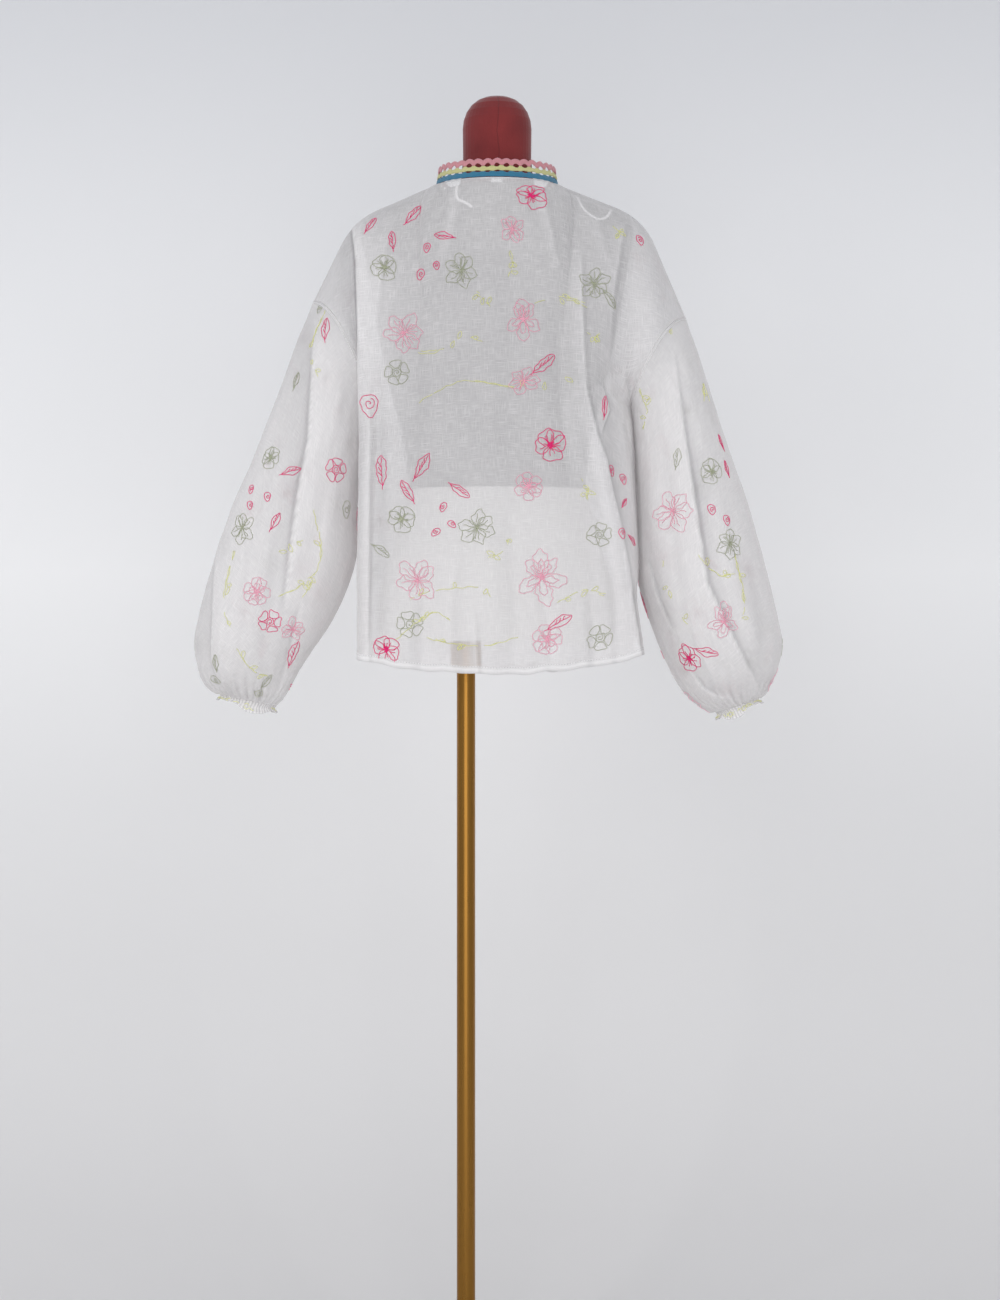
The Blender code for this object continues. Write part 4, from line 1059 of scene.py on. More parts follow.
def showClosure():
    # A turned button on the cloth's own plane, and a tube along a hairpin that passes under its rim
    data = cloths["front"]
    row, column = panelPlace(data, np.array([closure["across"]]), np.array([closure["down"]]))
    point, normal = (value[0] for value in sampled(data, row, column))
    down = sampled(data, row + 1.5, column)[0][0] - point
    down -= normal * (down @ normal)
    down /= np.linalg.norm(down)
    sideways = np.cross(normal, down)
    sideways *= math.copysign(1.0, sideways[0])
    outline = lathe(roundedOutline(closure["outline"]), closure["spokes"])
    grid = point + outline[..., :1] * sideways + outline[..., 1:2] * down + outline[..., 2:] * normal
    pearl = Finish("pearl button", paint(238, 232, 222), 0.22, Coat_Weight=0.4)
    cloudy = pearl.noise(pearl.place(), 420.0, 3.0)
    pearl.set("Base Color", pearl.mix(cloudy, paint(226, 218, 206), paint(244, 240, 234)))
    quads = gridQuads(len(outline) - 1, closure["spokes"], closed=True)
    button = makeMesh("pearl_button", grid, quads, pearl.material)
    mergePoints(button)
    height = closure["foot"] + closure["thread"] + closure["clear"]
    end, reach, (narrow, wide) = closure["loopEnd"], closure["reach"], closure["loopHalf"]
    turn = np.radians(np.linspace(-90.0, 90.0, 15))
    bow = np.stack([reach * np.cos(turn), reach * np.sin(turn)], axis=-1)
    flat = np.vstack([[(end, -narrow), (end * 0.6, -wide)], bow, [(end * 0.6, wide), (end, narrow)]])
    flat = smoothRows(flat, np.linspace(0.0, len(flat) - 1.0, closure["loopPoints"]))
    line = point + normal * height + sideways * flat[:, :1] + down * flat[:, 1:]
    loop = tubeMesh("thread_loop", line, closure["thread"], tapeFinish.material, normal, closure["loopSides"])
    for piece, node, slotName in ((button, "neck_button", "button"), (loop, "button_loop", "voile")):
        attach(piece, "root")
        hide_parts(node)
    return [loop]


# embroidery threads: half width in mm, and each colour with its darker stretches
threads = {
    "pink": {"tint": (244, 0, 122), "shade": (224, 0, 102), "half": 0.46},
    "pale": {"tint": (244, 178, 196), "shade": (238, 160, 182), "half": 0.4},
    "sage": {"tint": (178, 181, 156), "shade": (160, 165, 136), "half": 0.4},
    "vine": {"tint": (234, 234, 160), "shade": (224, 226, 138), "half": 0.36},
}
# waves of the twist to a metre along and across a thread, the ridge's height and its lift off the cloth in mm
twist = {"along": 5200.0, "across": 2600.0, "drift": 60.0, "height": 0.5, "lift": 0.1}


def makeThread(name, tint, shade):
    # Twisted thread: slanted ridges on the ribbon's own map, and a slow drift of tone
    made = Finish(name, paint(*tint), 0.55, Sheen_Weight=0.3, Sheen_Roughness=0.35)
    run = made.ownMap()
    ridge = (made.part(run, "X") * twist["along"] + made.part(run, "Y") * twist["across"]).math("SINE")
    drift = made.noise(made.place(), twist["drift"])
    made.set("Base Color", made.mix(drift, paint(*shade), paint(*tint)))
    made.bump(ridge * 0.5 + 0.5, 0.0002, 0.5)
    return made.material


for tone, thread in threads.items():
    thread["finish"] = makeThread(tone + " thread", thread["tint"], thread["shade"])

# motifs: strokes in mm about a motif's middle, y up
rng = np.random.default_rng(5)


def turned(stroke, degrees, shift=(0.0, 0.0)):
    # A stroke turned about the motif's middle, then moved
    angle = math.radians(degrees)
    spin = np.array([[math.cos(angle), math.sin(angle)], [-math.sin(angle), math.cos(angle)]])
    return stroke @ spin + np.asarray(shift)


def roundPetal(length, width, notch=0.08):
    # Loop from the base: x a lopsided sine, y a raised cosine with a dip at the tip
    s = np.linspace(0.0, 2.0 * math.pi, 26)
    lean = rng.normal(0.0, 0.06)
    x = 0.5 * width * np.sin(s) * (1.0 - 0.3 * np.cos(s)) + lean * length * (1.0 - np.cos(s))
    y = length * (0.5 - 0.5 * np.cos(s)) - notch * length * np.exp(-((s - math.pi) / 0.5) ** 2)
    return np.stack([y, x], axis=-1)


def pointedPetal(length, width, bend):
    # Two sine-bellied sides from base to tip and back, both bent by a square of the length
    s = np.linspace(0.0, 1.0, 14)
    uneven = 1.0 + 0.12 * np.sin(9.0 * s + anyPhase(rng))
    belly = 0.5 * width * np.sin(math.pi * s ** 1.15) ** 0.8 * uneven
    right = np.stack([length * s, belly + bend * s ** 2], axis=-1)
    left = np.stack([length * s, -belly + bend * s ** 2], axis=-1)
    return np.vstack([right, left[::-1]])


def vein(length, bend, start, end):
    # A line up the middle of a petal, bent by a square of the length
    s = np.linspace(start, end, 8)
    return np.stack([length * s, bend * s ** 2], axis=-1)


def scribble(radius, turns):
    # Back and forth rays from the middle, each a little longer or shorter than the last
    angle = np.arange(turns) * 2.4 + anyPhase(rng)
    reach = radius * rng.uniform(0.45, 1.0, turns)
    tips = np.stack([np.cos(angle), np.sin(angle)], axis=-1) * reach[:, None]
    near = -tips * 0.12
    return np.stack([near, tips], axis=1).reshape(-1, 2)


def spiral(radius, turns):
    # Angle grows evenly and radius by a power of the share of the way
    s = np.linspace(0.0, 1.0, int(10 * turns) + 4)
    angle = s * turns * 2.0 * math.pi + anyPhase(rng)
    return np.stack([np.cos(angle), np.sin(angle)], axis=-1) * (radius * s ** 0.8)[:, None]


def pansy(size):
    # Two petals above, two beside and a broad one below. Each has a turn in degrees, and a reach and a width
    # as shares of the size
    petals = ((62, 0.5, 0.5), (118, 0.5, 0.5), (182, 0.48, 0.46), (358, 0.48, 0.46), (270, 0.5, 0.56))
    strokes = []
    for turn, reach, wide in petals:
        turn = turn + rng.normal(0.0, 5.0)
        strokes.append(turned(roundPetal(reach * size, wide * size), turn))
        for spread in (-9.0, 8.0):
            line = vein(reach * size, 0.04 * size, 0.1, rng.uniform(0.45, 0.7))
            strokes.append(turned(line, turn + spread + rng.normal(0.0, 4.0)))
    return strokes + [scribble(0.16 * size, 13)]


def rose(size):
    # A spiral heart within five broad petals
    strokes = [spiral(0.2 * size, 2.2)]
    for turn in np.arange(5) * 72.0 + rng.uniform(0.0, 72.0):
        out = 0.17 * size * np.array([math.cos(math.radians(turn)), math.sin(math.radians(turn))])
        strokes.append(turned(roundPetal(0.32 * size, 0.42 * size, 0.14), turn, out))
    return strokes


def lily(size):
    # Six pointed petals with a vein each, and three stamens
    strokes = []
    first = rng.uniform(0.0, 60.0)
    for order in range(6):
        turn = first + 60.0 * order + rng.normal(0.0, 6.0)
        reach, bend = size * rng.uniform(0.42, 0.54), size * rng.uniform(-0.1, 0.1)
        strokes.append(turned(pointedPetal(reach, 0.32 * size, bend), turn))
        strokes.append(turned(vein(reach, bend, 0.05, 0.72), turn + rng.normal(0.0, 4.0)))
    for turn in first + np.array([20.0, 95.0, 215.0]):
        strokes.append(turned(vein(0.3 * size, 0.05 * size, 0.0, 1.0), turn))
    return strokes


def iris(size):
    # Three standing petals and three hanging ones, each with a smaller one within
    petals = ((90, 0.5, 0.3), (58, 0.42, 0.22), (122, 0.42, 0.22), (205, 0.46, 0.26), (335, 0.46, 0.26),
              (268, 0.52, 0.3))
    strokes = []
    for turn, reach, wide in petals:
        turn, bend = turn + rng.normal(0.0, 4.0), size * rng.uniform(-0.09, 0.09)
        strokes.append(turned(pointedPetal(reach * size, wide * size, bend), turn))
        strokes.append(turned(pointedPetal(reach * size * 0.66, wide * size * 0.42, bend * 0.5), turn))
    return strokes + [scribble(0.12 * size, 6)]


def roundFlower(size):
    # Seven outer and five inner petals about a small spiral
    strokes = [spiral(0.1 * size, 1.6)]
    for ring, count, reach in ((0.0, 7, 0.5), (26.0, 5, 0.3)):
        for turn in ring + np.arange(count) * 360.0 / count:
            petal = roundPetal(reach * size, 0.62 * size * reach, 0.1)
            strokes.append(turned(petal, turn + rng.normal(0.0, 5.0)))
    return strokes


def leaf(size):
    # Pointed outline with a midrib and slanting hatches along one side
    bend = size * rng.uniform(-0.12, 0.12)
    strokes = [pointedPetal(size, 0.36 * size, bend), vein(size, bend, -0.12, 0.92)]
    for s in (0.3, 0.46, 0.62):
        foot = np.array([size * s, bend * s ** 2])
        strokes.append(np.stack([foot, foot + np.array([0.16, 0.1]) * size]))
    shift = np.array([-0.5 * size, -0.25 * bend])
    return [stroke + shift for stroke in strokes]


def bud(size):
    # One upright round petal with a spiral in it
    body = turned(roundPetal(size, 0.72 * size, 0.0), 90.0, (0.0, -0.5 * size))
    return [body, turned(spiral(0.26 * size, 1.4), 0.0, (0.0, 0.05 * size))]


motifs = {"pansy": pansy, "rose": rose, "lily": lily, "iris": iris, "round": roundFlower, "leaf": leaf,
          "bud": bud}


# laying strokes on the cloth
def sampled(data, row, column):
    # Bilinear point and normal at a fractional row and column of a cloth's grid
    grid, normal = data["grid"], data["normal"]
    rows, columns = grid.shape[:2]
    closed = "around" in data
    row = np.clip(row, 0.0, rows - 1.001)
    top = row.astype(int)
    left = np.floor(column).astype(int)
    if not closed:
        left = np.clip(left, 0, columns - 2)
    low, side = (row - top)[:, None], (column - left)[:, None]
    right = left + 1
    if closed:
        left, right = left % columns, right % columns
    both = []
    for field in (grid, normal):
        both.append((1 - low) * ((1 - side) * field[top, left] + side * field[top, right])
                    + low * ((1 - side) * field[top + 1, left] + side * field[top + 1, right]))
    return both[0], both[1] / np.linalg.norm(both[1], axis=-1)[:, None]


def evenSteps(stroke, step):
    # The same stroke with its points a step apart, measured along it
    stroke = np.asarray(stroke, float)
    length = np.concatenate(([0.0], np.cumsum(np.linalg.norm(np.diff(stroke, axis=0), axis=1))))
    count = max(int(round(length[-1] / step)), 2)
    target = np.linspace(0.0, length[-1], count + 1)
    return np.stack([np.interp(target, length, stroke[:, axis]) for axis in range(2)], axis=-1)


def layStroke(data, row, column, stroke, step, wobble):
    # A flat stroke about a grid place goes through the inverse of the grid's own two directions there
    grid = data["base"]
    rows, columns = grid.shape[:2]
    closed = "around" in data
    wide = 3      # cells each way over which a direction is taken
    i, j = min(max(int(round(row)), wide), rows - wide - 1), int(round(column))
    if not closed:
        j = min(max(j, wide), columns - wide - 1)
    sideways = (grid[i, (j + wide) % columns] - grid[i, (j - wide) % columns]) / (2.0 * wide)
    downwards = (grid[i + wide, j % columns] - grid[i - wide, j % columns]) / (2.0 * wide)
    normal = np.cross(sideways, downwards)
    normal *= np.sign(normal @ data["normal"][i, j % columns]) / np.linalg.norm(normal)
    right = np.cross((0.0, 0.0, 1.0), normal)
    right /= np.linalg.norm(right)
    up = np.cross(normal, right)
    flat = evenSteps(stroke, step)
    count = np.arange(len(flat))
    shaky = np.sin(count * 0.9 + anyPhase(rng)), np.cos(count * 0.7 + anyPhase(rng))
    flat = flat + wobble * np.stack(shaky, axis=-1)
    solid = flat[:, :1] * right + flat[:, 1:] * up
    ways = np.stack([sideways, downwards])
    shift = np.linalg.solve(ways @ ways.T, ways @ solid.T)
    rowAt, columnAt = row + shift[1], column + shift[0]
    inside = (rowAt > 1.2) & (rowAt < rows - 2.2)
    if not closed:
        inside &= (columnAt > 0.8) & (columnAt < columns - 1.8)
    runs = np.split(np.arange(len(flat)), np.flatnonzero(~inside))
    laid = []
    for run in runs:
        run = run[inside[run]]
        if len(run) > 2:
            laid.append(sampled(data, rowAt[run], columnAt[run]))
    return laid


def ribbonMesh(name, runs, half, finish):
    # A closed low ridge along each run: two feet on the cloth and two shoulders above them
    points, faces, maps, count = [], [], [], 0
    for middle, normal in runs:
        heading = np.gradient(middle, axis=0)
        heading /= np.maximum(np.linalg.norm(heading, axis=1), 1e-6)[:, None]
        beside = np.cross(heading, normal)
        lift, top = twist["lift"], twist["lift"] + twist["height"]
        corners = [middle - beside * half + normal * lift, middle - beside * half * 0.5 + normal * top,
                   middle + beside * half * 0.5 + normal * top, middle + beside * half + normal * lift]
        size = len(middle)
        points.append(np.stack(corners, axis=1).reshape(-1, 3))
        faces.append(gridQuads(size - 1, 4, closed=True) + count)
        ring = np.arange(4)
        faces.append(np.stack([ring[::-1], 4 * (size - 1) + ring]) + count)
        length = np.concatenate(([0.0], np.cumsum(np.linalg.norm(np.diff(middle, axis=0), axis=1))))
        across = np.tile([0.0, 0.4, 0.8, 1.2], size)
        maps.append(np.stack([np.repeat(length, 4), across], axis=-1) * mm)
        count += 4 * size
    return makeMesh(name, np.vstack(points), np.vstack(faces), finish, np.vstack(maps))


def seenSpot(data, x, z):
    # The grid place whose picture lies nearest to a seen place, on the side that faces the eye
    seen = seenPlace(data["grid"])
    away = np.hypot(seen[..., 0] - x, seen[..., 1] - z) + np.where(data["normal"][..., 1] < 0.05, 0.0, 900.0)
    near = np.where(away < away.min() + 3.0, data["grid"][..., 1], 1e9)      # of these the foremost layer
    row, column = np.unravel_index(int(np.argmin(near)), away.shape)
    return float(row), float(column), float(away[row, column])


# kind, colour, seen x and z in mm from the pole, size in mm, turn in degrees
sewn = {
    "back": (
        ("leaf", "pink", (-127, 1551), 28, 70), ("leaf", "pink", (-100, 1530), 27, 100),
        ("leaf", "pink", (-73, 1563), 36, 50), ("leaf", "pink", (-32, 1536), 27, 165),
        ("bud", "pink", (-55, 1516), 13, 0), ("bud", "pink", (-42, 1492), 11, 20),
        ("bud", "pink", (-65, 1481), 15, -20), ("pansy", "sage", (-108, 1493), 37, 10),
        ("lily", "sage", (-7, 1489), 48, 0), ("lily", "pale", (-88, 1403), 56, 0),
        ("rose", "sage", (-97, 1349), 35, 0), ("bud", "pink", (-128, 1307), 30, 8),
        ("pansy", "pink", (89, 1590), 42, 12), ("leaf", "pink", (108, 1360), 38, 35),
        ("lily", "sage", (177, 1468), 44, 20), ("leaf", "sage", (197, 1446), 30, -50),
        ("pansy", "pink", (117, 1250), 44, 5), ("round", "pale", (88, 1196), 40, 0),
        ("leaf", "pink", (-119, 1218), 40, 95), ("leaf", "pink", (-62, 1223), 38, 55),
        ("leaf", "pink", (-82, 1188), 32, 120), ("leaf", "pink", (-12, 1188), 31, -35),
        ("bud", "pink", (-36, 1169), 12, 0), ("bud", "pink", (-20, 1145), 11, 30),
        ("bud", "pink", (-46, 1135), 12, -30), ("pansy", "sage", (-89, 1150), 38, -8),
        ("lily", "sage", (14, 1142), 50, 15), ("leaf", "sage", (-116, 1107), 28, -30),
        ("lily", "pale", (-70, 1067), 60, 10), ("rose", "sage", (-74, 1009), 37, 0),
        ("pansy", "pink", (-113, 972), 37, 0), ("iris", "pale", (105, 1075), 74, 0),
        ("round", "pale", (107, 991), 43, 0), ("leaf", "pink", (130, 1013), 36, 32),
        ("rose", "sage", (184, 1131), 34, 0), ("rose", "sage", (184, 987), 36, 0),
        ("bud", "pink", (239, 1527), 15, 0), ("lily", "pale", (66, 1544), 40, 0),
        ("iris", "pale", (80, 1419), 56, 0), ("lily", "pale", (82, 1338), 42, 0),
        ("leaf", "pink", (190, 1303), 30, 75), ("bud", "pink", (200, 1216), 15, 0),
        ("bud", "pink", (216, 1204), 14, 0), ("leaf", "pink", (217, 1172), 18, 40),
        ("bud", "pink", (215, 1134), 15, 0), ("leaf", "pink", (228, 1121), 26, -30),
    ),
    "left": (
        ("bud", "sage", (-200, 1436), 14, 0), ("leaf", "pink", (-193, 1410), 32, 100),
        ("leaf", "sage", (-232, 1339), 24, 80), ("pansy", "sage", (-267, 1237), 32, 0),
        ("leaf", "pink", (-238, 1219), 28, 20), ("rose", "pink", (-170, 1216), 34, 0),
        ("bud", "pink", (-293, 1195), 13, 0), ("bud", "pink", (-270, 1180), 13, 0),
        ("bud", "pink", (-294, 1168), 12, 0), ("leaf", "pink", (-259, 1150), 26, 60),
        ("lily", "sage", (-305, 1138), 44, 0), ("bud", "sage", (-158, 1161), 24, 0),
        ("round", "pale", (-285, 1054), 40, 0), ("rose", "pink", (-263, 1007), 32, 0),
        ("lily", "pale", (-230, 998), 34, 0), ("leaf", "pink", (-230, 967), 38, 88),
        ("leaf", "sage", (-340, 952), 24, 85), ("bud", "sage", (-340, 930), 16, 80),
        ("leaf", "sage", (-268, 928), 24, 60), ("bud", "sage", (-276, 912), 14, 20),
    ),
    "right": (
        ("leaf", "pink", (263, 1492), 30, 110), ("leaf", "pink", (279, 1428), 32, 60),
        ("rose", "sage", (266, 1426), 24, 0), ("leaf", "sage", (238, 1403), 26, 95),
        ("leaf", "sage", (284, 1230), 26, 80), ("lily", "pale", (275, 1161), 60, 0),
        ("pansy", "sage", (335, 1216), 36, 0), ("leaf", "pink", (346, 1257), 22, 110),
        ("leaf", "pink", (354, 1220), 22, 100), ("bud", "pink", (336, 1168), 14, 0),
        ("bud", "pink", (355, 1148), 14, 0), ("lily", "sage", (362, 1115), 44, 0),
        ("iris", "pale", (352, 1011), 48, 0), ("pansy", "pink", (300, 957), 38, 0),
        ("leaf", "pink", (324, 967), 32, -15),
    ),
}

# seen x and z in mm from the pole of the points that each vine runs by
vines = {
    "back": (
        ((-88, 1385), (-49, 1376), (-5, 1395), (19, 1389)),
        ((-49, 1311), (5, 1338), (73, 1330), (127, 1339), (178, 1327)),
        ((-70, 1041), (-42, 1054), (22, 1061), (36, 1048)), ((62, 1512), (66, 1494), (60, 1478)),
        ((34, 1098), (50, 1106), (62, 1124)), ((127, 1041), (161, 1054), (189, 1046)),
        ((-49, 987), (19, 979), (73, 992)), ((12, 1455), (22, 1449), (30, 1436)),
        ((166, 1405), (176, 1399), (182, 1404)), ((206, 1548), (211, 1538), (206, 1528)),
        ((158, 1204), (167, 1190), (166, 1176)), ((-94, 987), (-49, 1025), (-22, 1017)),
        ((107, 1446), (140, 1451), (167, 1446)),
    ),
    "left": (
        ((-201, 1446), (-213, 1392), (-205, 1338)), ((-224, 1122), (-251, 1111), (-275, 1081)),
        ((-200, 1162), (-194, 1095), (-217, 1041)), ((-324, 1095), (-329, 1041), (-316, 987)),
        ((-251, 1041), (-224, 1054), (-200, 1075)), ((-308, 973), (-289, 944), (-265, 933)),
    ),
    "right": (
        ((302, 1129), (324, 1095), (346, 1077), (367, 1081)), ((293, 1446), (278, 1422), (267, 1405)),
        ((235, 1324), (242, 1297), (231, 1270)), ((262, 1095), (273, 1041), (294, 1007)),
        ((370, 1095), (381, 1041), (375, 1000)), ((316, 1311), (327, 1338), (332, 1311)),
    ),
}


# motifs on the sides that the eye doesn't see: clear space in mm, then seed, number and how far a place must
# face away from the eye for each sheet, and the kinds in turn with their sizes in mm
scatter = {
    "gap": 8.0, "front": (8, 60, -2.0), "left": (13, 34, 0.12), "right": (17, 34, 0.12),
    "kinds": (("pansy", "sage", 36), ("lily", "pale", 54), ("leaf", "pink", 34), ("bud", "pink", 13),
              ("rose", "sage", 34), ("pansy", "pink", 40), ("leaf", "pink", 28), ("round", "pale", 42),
              ("bud", "pink", 12), ("lily", "sage", 46), ("iris", "pale", 58), ("leaf", "sage", 27),
              ("bud", "pink", 14)),
}


def scatterHidden(host):
    # An even scatter: a place is kept if it is clear of the others
    if host not in scatter:
        return []
    seed, count, facing = scatter[host]
    chance = np.random.default_rng(seed)
    grid, normal = cloths[host]["grid"], cloths[host]["normal"]
    kept, chosen = [], []
    for _ in range(count * 40):
        row, column = chance.integers(4, grid.shape[0] - 5), chance.integers(2, grid.shape[1] - 2)
        if normal[row, column, 1] <= facing:
            continue
        kind, tone, size = scatter["kinds"][len(chosen) % len(scatter["kinds"])]
        place = grid[row, column]
        if all(np.linalg.norm(place - other) > scatter["gap"] + 0.4 * (size + reach)
               for other, reach in kept):
            kept.append((place, size))
            chosen.append((kind, tone, float(row), float(column), size, chance.uniform(-40.0, 140.0)))
        if len(chosen) >= count:
            break
    return chosen


# how near a motif's cloth must lie to its place, the point step of large and small motifs, and how a vine is
# made: its points, passes, breaks in a pass, the share of stretches that is kept, and its sprigs, all in mm
sewing = {
    "near": 12.0, "step": (1.5, 1.1), "largeFrom": 16, "wobble": 0.012,
    "vinePoints": 30, "passes": 2, "stray": 0.9, "breaks": 4, "keep": 0.75, "vineStep": 2.0,
    "vineWobble": 0.7, "sprigs": 3, "sprigLength": (7.0, 13.0), "sprigWidth": 4.5, "sprigBend": 1.5,
    "sprigWobble": 0.2,
}


def layVine(data, row, column, path):
    # Two passes of a few broken stretches each, and small pointed sprigs beside them
    laid = []
    for _ in range(sewing["passes"]):
        breaks = np.sort(rng.choice(np.arange(3, sewing["vinePoints"] - 2), sewing["breaks"], replace=False))
        for stretch in np.split(path + rng.normal(0.0, sewing["stray"], 2), breaks):
            if len(stretch) > 4 and rng.uniform() < sewing["keep"]:
                laid += layStroke(data, row, column, stretch[:-1], sewing["vineStep"], sewing["vineWobble"])
    for place in rng.choice(np.arange(4, sewing["vinePoints"] - 4), sewing["sprigs"], replace=False):
        sprig = pointedPetal(rng.uniform(*sewing["sprigLength"]), sewing["sprigWidth"], sewing["sprigBend"])
        sprig = turned(sprig, rng.uniform(0.0, 360.0), path[place])
        laid += layStroke(data, row, column, sprig, sewing["step"][0], sewing["sprigWobble"])
    return laid


def embroider(host):
    # Each motif's strokes and each vine laid on the cloth about its place, one mesh for each thread
    data = cloths[host]
    runs = {tone: [] for tone in threads}
    jobs = scatterHidden(host)
    for kind, tone, (x, z), size, turn in sewn.get(host, ()):
        row, column, away = seenSpot(data, x, z)
        if away < sewing["near"]:
            jobs.append((kind, tone, row, column, size, turn))
    for kind, tone, row, column, size, turn in jobs:
        step = sewing["step"][0 if size > sewing["largeFrom"] else 1]
        for stroke in motifs[kind](size):
            runs[tone] += layStroke(data, row, column, turned(stroke, turn), step, sewing["wobble"] * size)
    for line in vines.get(host, ()):
        line = np.array(line, float)
        middle = line.mean(axis=0)
        row, column, away = seenSpot(data, *middle)
        if away <= sewing["near"]:
            path = smoothRows(line, np.linspace(0.0, len(line) - 1.0, sewing["vinePoints"])) - middle
            runs["vine"] += layVine(data, row, column, path)
    made = []
    for tone, laid in runs.items():
        if not laid:
            continue
        thread = threads[tone]
        piece = ribbonMesh("embroidery_" + host + "_" + tone, laid, thread["half"], thread["finish"])
        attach(piece, "root")
        tone + "_thread"
        made.append(piece)
    return made


liningPieces = showLining()
loopPieces = showClosure()
print("lining and button done")

hosts = ("back", "front", "left", "right")
stitched = {host: embroider(host) for host in hosts}
print("embroidery done")

# white machine stitches on the hems, the slit and below the armholes, and thread drawn round the cuffs
stitching = {
    "dash": 2.5, "gap": 1.1, "half": 0.28, "hem": 9.0, "beside": 3.0, "slitDown": 0.36, "armRow": 0.9,
    "hemPoints": 400, "slitPoints": 90, "armPoints": 500,
    "finish": makeThread("white thread", (252, 252, 252), (240, 240, 240)),
    # each line of cuff thread: its row and how far its waves rise
    "cuffLines": ((6.5, 1.8), (11.5, -1.5)), "cuffWaves": 26, "cuffPoints": 360, "cuffDabs": 34,
    "cuffKept": 0.55, "cuffHalf": 0.4, "cuffSeed": {"left": 61, "right": 67},
}


def stitchRuns(data, rowLine, columnLine):
    # Short even dashes along a line of grid places
    points, _ = sampled(data, rowLine, columnLine)
    length = np.concatenate(([0.0], np.cumsum(np.linalg.norm(np.diff(points, axis=0), axis=1))))
    pitch = stitching["dash"] + stitching["gap"]
    starts = np.arange(int(length[-1] / pitch)) * pitch
    spots = starts[:, None] + np.linspace(0.0, stitching["dash"], 3)
    rows, columns = np.interp(spots, length, rowLine), np.interp(spots, length, columnLine)
    middle, normal = sampled(data, rows.ravel(), columns.ravel())
    return list(zip(middle.reshape(-1, 3, 3), normal.reshape(-1, 3, 3)))


def showStitches(host):
    # Dashes along a row of the hem or the armhole, and down both sides of the front slit
    data = cloths[host]
    rows, columns = data["grid"].shape[:2]
    if "across" in data:
        places, count = np.arange(rows), stitching["hemPoints"]
        hemRow = np.interp(2.0 - stitching["hem"] / (cut["underarm"] - cut["hem"]), data["down"], places)
        runs = stitchRuns(data, np.full(count, hemRow), np.linspace(1.5, columns - 2.5, count))
        if host == "front":
            middle, count = columns // 2, stitching["slitPoints"]
            cell = np.linalg.norm(data["grid"][8, middle + 1] - data["grid"][8, middle])
            slitRows = np.linspace(1.0, np.interp(stitching["slitDown"], data["down"], places), count)
            for side in (-1.0, 1.0):
                runs += stitchRuns(data, slitRows, np.full(count, middle + side * stitching["beside"] / cell))
    else:
        count = stitching["armPoints"]
        runs = stitchRuns(data, np.full(count, stitching["armRow"]), np.linspace(0.0, columns - 0.01, count))
    piece = ribbonMesh("stitches_" + host, runs, stitching["half"], stitching["finish"])
    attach(piece, "root")
    return piece


def showCuffThread(hand):
    # Two waving lines of yellow-green dabs round the cuff
    data = cloths["cuff " + hand]
    share = np.linspace(0.0, 1.0, stitching["cuffPoints"])
    runs = []
    chance = np.random.default_rng(stitching["cuffSeed"][hand])
    for row, lift in stitching["cuffLines"]:
        wave = row + lift * np.sin(2.0 * math.pi * stitching["cuffWaves"] * share)
        wave = wave + 0.8 * np.sin(17.0 * share + row)
        for dab in np.array_split(np.arange(len(share)), stitching["cuffDabs"]):
            if chance.uniform() < stitching["cuffKept"]:
                runs.append(sampled(data, wave[dab], share[dab] * (len(data["around"]) - 0.01)))
    piece = ribbonMesh("cuff_thread_" + hand, runs, stitching["cuffHalf"], threads["vine"]["finish"])
    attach(piece, "root")
    return piece


stitches = {host: showStitches(host) for host in hosts}
cuffThread = {hand: showCuffThread(hand) for hand in ("left", "right")}
print("stitches done")

# what each sheet was cut to, in metres, before it was sewn and hung
cutSizes = {
    "back": {"piece": backPanel, "flat": (0.64, 0.7), "area": 0.345, "held": "hung", "on": ["form_torso"],
             "with": stitched["back"] + liningPieces + edgings + [stitches["back"]]},
    "front": {"piece": frontPanel, "flat": (0.64, 0.7), "area": 0.345, "held": "hung", "on": ["form_torso"],
              "with": stitched["front"] + loopPieces + [stitches["front"]]},
    "left": {"piece": sleevePieces["left"], "flat": (0.57, 0.56), "area": 0.29, "held": "gathered",
             "on": ["voile_back"], "with": stitched["left"] + [stitches["left"]]},
    "right": {"piece": sleevePieces["right"], "flat": (0.55, 0.54), "area": 0.275, "held": "gathered",
              "on": ["voile_back"], "with": stitched["right"] + [stitches["right"]]},
    "cuff left": {"piece": cuffPieces["left"], "flat": (0.22, 0.012), "area": None, "held": "gathered",
                  "on": ["voile_sleeve_left"], "with": [cuffThread["left"]]},
    "cuff right": {"piece": cuffPieces["right"], "flat": (0.22, 0.012), "area": None, "held": "gathered",
                   "on": ["voile_sleeve_right"], "with": [cuffThread["right"]]},
}

# form and stand: the part's own solids, with their finishes
# heights in m between which the torso's cover turns from its light lower part to grey, the colours, and the
# neck's seam
stand = {
    "coverEdge": (1.187, 1.19), "coverLow": (238, 237, 235), "coverHigh": (66, 62, 66),
    "neck": (124, 33, 35), "neckDark": (100, 22, 25), "neckWorn": (134, 41, 41), "neckSeam": (70, 12, 15),
    "seamAside": 0.002, "seamSharp": 900.0, "seamWander": 0.012,
    "brass": (150, 108, 50), "iron": (44, 42, 40),
}


def makeCover():
    # Two tones that meet at a level line, with a fine grain
    made = Finish("form cover", paint(*stand["coverHigh"]), 0.95, Sheen_Weight=0.1)
    share = made.between(made.part(made.place(), "Z"), *stand["coverEdge"])
    made.set("Base Color", made.mix(share, paint(*stand["coverLow"]), paint(*stand["coverHigh"])))
    made.bump(made.noise(made.place(), 900.0), 0.0004, 0.4)
    return made.material


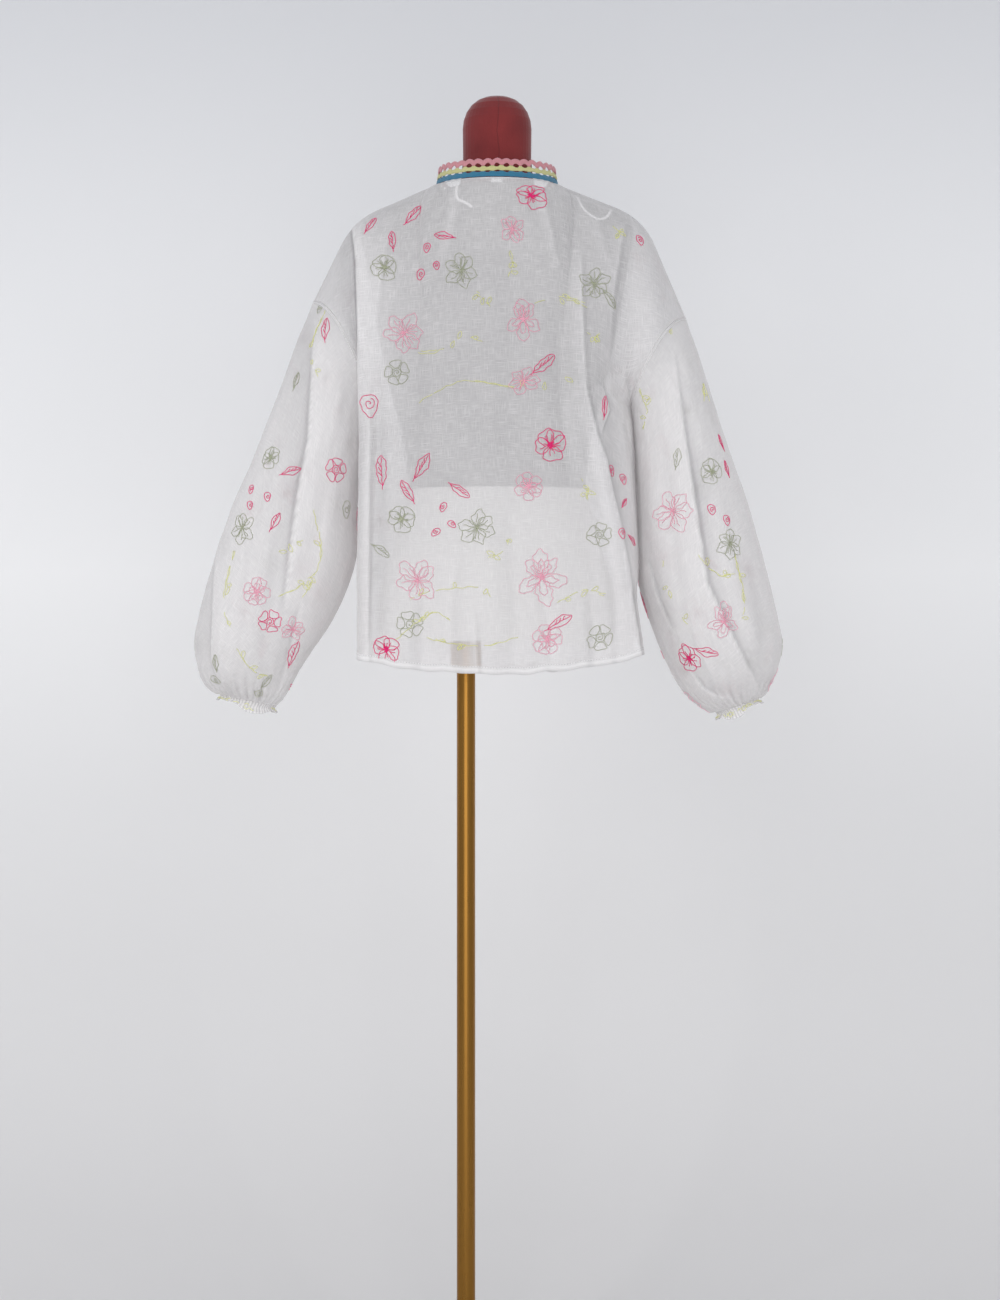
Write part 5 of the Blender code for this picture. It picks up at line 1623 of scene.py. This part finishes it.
def makeNeck():
    # Worn velvet with a thin upright seam that wanders a little
    made = Finish("neck cover", paint(*stand["neck"]), 0.85, Sheen_Weight=0.35, Sheen_Roughness=0.4)
    wander = made.noise(made.place(), 26.0)
    beside = made.part(made.place(), "X") - (formX * mm + stand["seamAside"])
    away = (beside + (wander - 0.5) * stand["seamWander"]).math("ABSOLUTE")
    seam = 1.0 - (away * stand["seamSharp"]).math("MINIMUM", 1.0)
    worn = made.mix(wander, paint(*stand["neckDark"]), paint(*stand["neckWorn"]))
    made.set("Base Color", made.mix(seam * 0.4, worn, paint(*stand["neckSeam"])))
    made.bump(made.noise(made.place(), 700.0, 3.0) * 0.3 - seam * 0.6 + wander * 0.9, 0.0012, 0.6)
    return made.material


def makeBrass():
    # Polished metal, rougher in upright scuffs
    made = Finish("brass", paint(*stand["brass"]), 0.28, Metallic=1.0)
    scuff = made.noise(made.stretched(made.place(), (120.0, 120.0, 6.0)), 1.0, 3.0)
    made.set("Roughness", scuff * 0.25 + 0.16)
    return made.material


def makeIron():
    made = Finish("base iron", paint(*stand["iron"]), 0.5, Metallic=0.4)
    made.bump(made.noise(made.place(), 260.0, 4.0), 0.0006, 0.5)
    return made.material


brass = makeBrass()
finishes = {"form_torso": makeCover(), "form_neck": makeNeck(), "stand_pole": brass, "pole_socket": brass,
            "base_collar": brass, "stand_base": makeIron()}
for node, finish in finishes.items():
    nodes[node].data.materials.clear()
    nodes[node].data.materials.append(finish)

# room: a pale wall that curves into the floor, and soft lights
room = {
    "wallY": 0.62, "radius": 0.5, "halfWidth": 5.0, "front": -4.5, "top": 4.5, "below": 0.5,
    # the wall's tints from the lower height in m to the upper one: painted falloff of light, darker towards
    # the bottom and towards the top
    "heights": (0.1, 2.1), "tints": ((219, 218, 218), (252, 252, 252), (214, 215, 218)),
    "sky": (0.93, 0.95, 1.0, 1.0), "skyStrength": 0.53,
}


def makeRoom():
    # A straight floor, a quarter circle and a straight wall, swept sideways
    angle = np.linspace(0.0, 0.5 * math.pi, 24)
    bendY, bendZ = (room["radius"] * (1.0 - bend(angle)) for bend in (np.sin, np.cos))
    y = np.concatenate([[room["front"]], room["wallY"] - bendY, [room["wallY"]]])
    z = np.concatenate([[0.0], bendZ, [room["top"]]])
    x = np.array([-room["halfWidth"], room["halfWidth"]])
    points = np.stack([np.broadcast_to(x[None, :], (len(y), 2)), np.broadcast_to(y[:, None], (len(y), 2)),
                       np.broadcast_to(z[:, None], (len(y), 2))], axis=-1) / mm
    points[..., 0] -= formX
    points[..., 2] -= room["below"]
    finish = Finish("backdrop", paint(*room["tints"][0]), 0.95, Specular_IOR_Level=0.1)
    # painted shade: the wall's colour darkens towards the bottom and the top
    level = finish.between(finish.part(finish.place(), "Z"), *room["heights"], "LINEAR")
    stops = [(place, paint(*tint)) for place, tint in zip((0.0, 0.5, 1.0), room["tints"])]
    finish.set("Base Color", finish.node("ShaderNodeValToRGB", {"stops": stops}, [level]))
    makeMesh("backdrop", points, gridQuads(len(y) - 1, 1), finish.material)


makeRoom()

lights = (
    # name, place, aim, size, watts
    ("left softbox", (-2.4, -2.2, 2.3), (-0.2, 0.3, 1.15), 1.3, 30.0),
    ("right softbox", (2.4, -2.2, 2.3), (0.3, 0.3, 1.15), 1.3, 20.5),
    ("front fill", (0.0, -4.2, 1.3), (0.05, 0.0, 1.1), 2.4, 24.0),
    ("low bounce", (0.0, -2.3, 0.35), (0.05, 0.0, 1.05), 1.8, 8.0),
)
for name, place, aim, size, watts in lights:
    lamp = bpy.data.lights.new(name, "AREA")
    lamp.size, lamp.energy = size, watts
    holder = bpy.data.objects.new(name, lamp)
    holder.location = place
    holder.rotation_euler = (Vector(aim) - Vector(place)).to_track_quat("-Z", "Y").to_euler()
    scene.collection.objects.link(holder)

world = bpy.data.worlds.new("room light")
world.use_nodes = True
world.node_tree.nodes["Background"].inputs["Color"].default_value = room["sky"]
world.node_tree.nodes["Background"].inputs["Strength"].default_value = room["skyStrength"]
scene.world = world
scene.view_settings.view_transform = "Standard"
scene.cycles.transparent_max_bounces = 20
scene.cycles.diffuse_bounces = 7
print("room done")
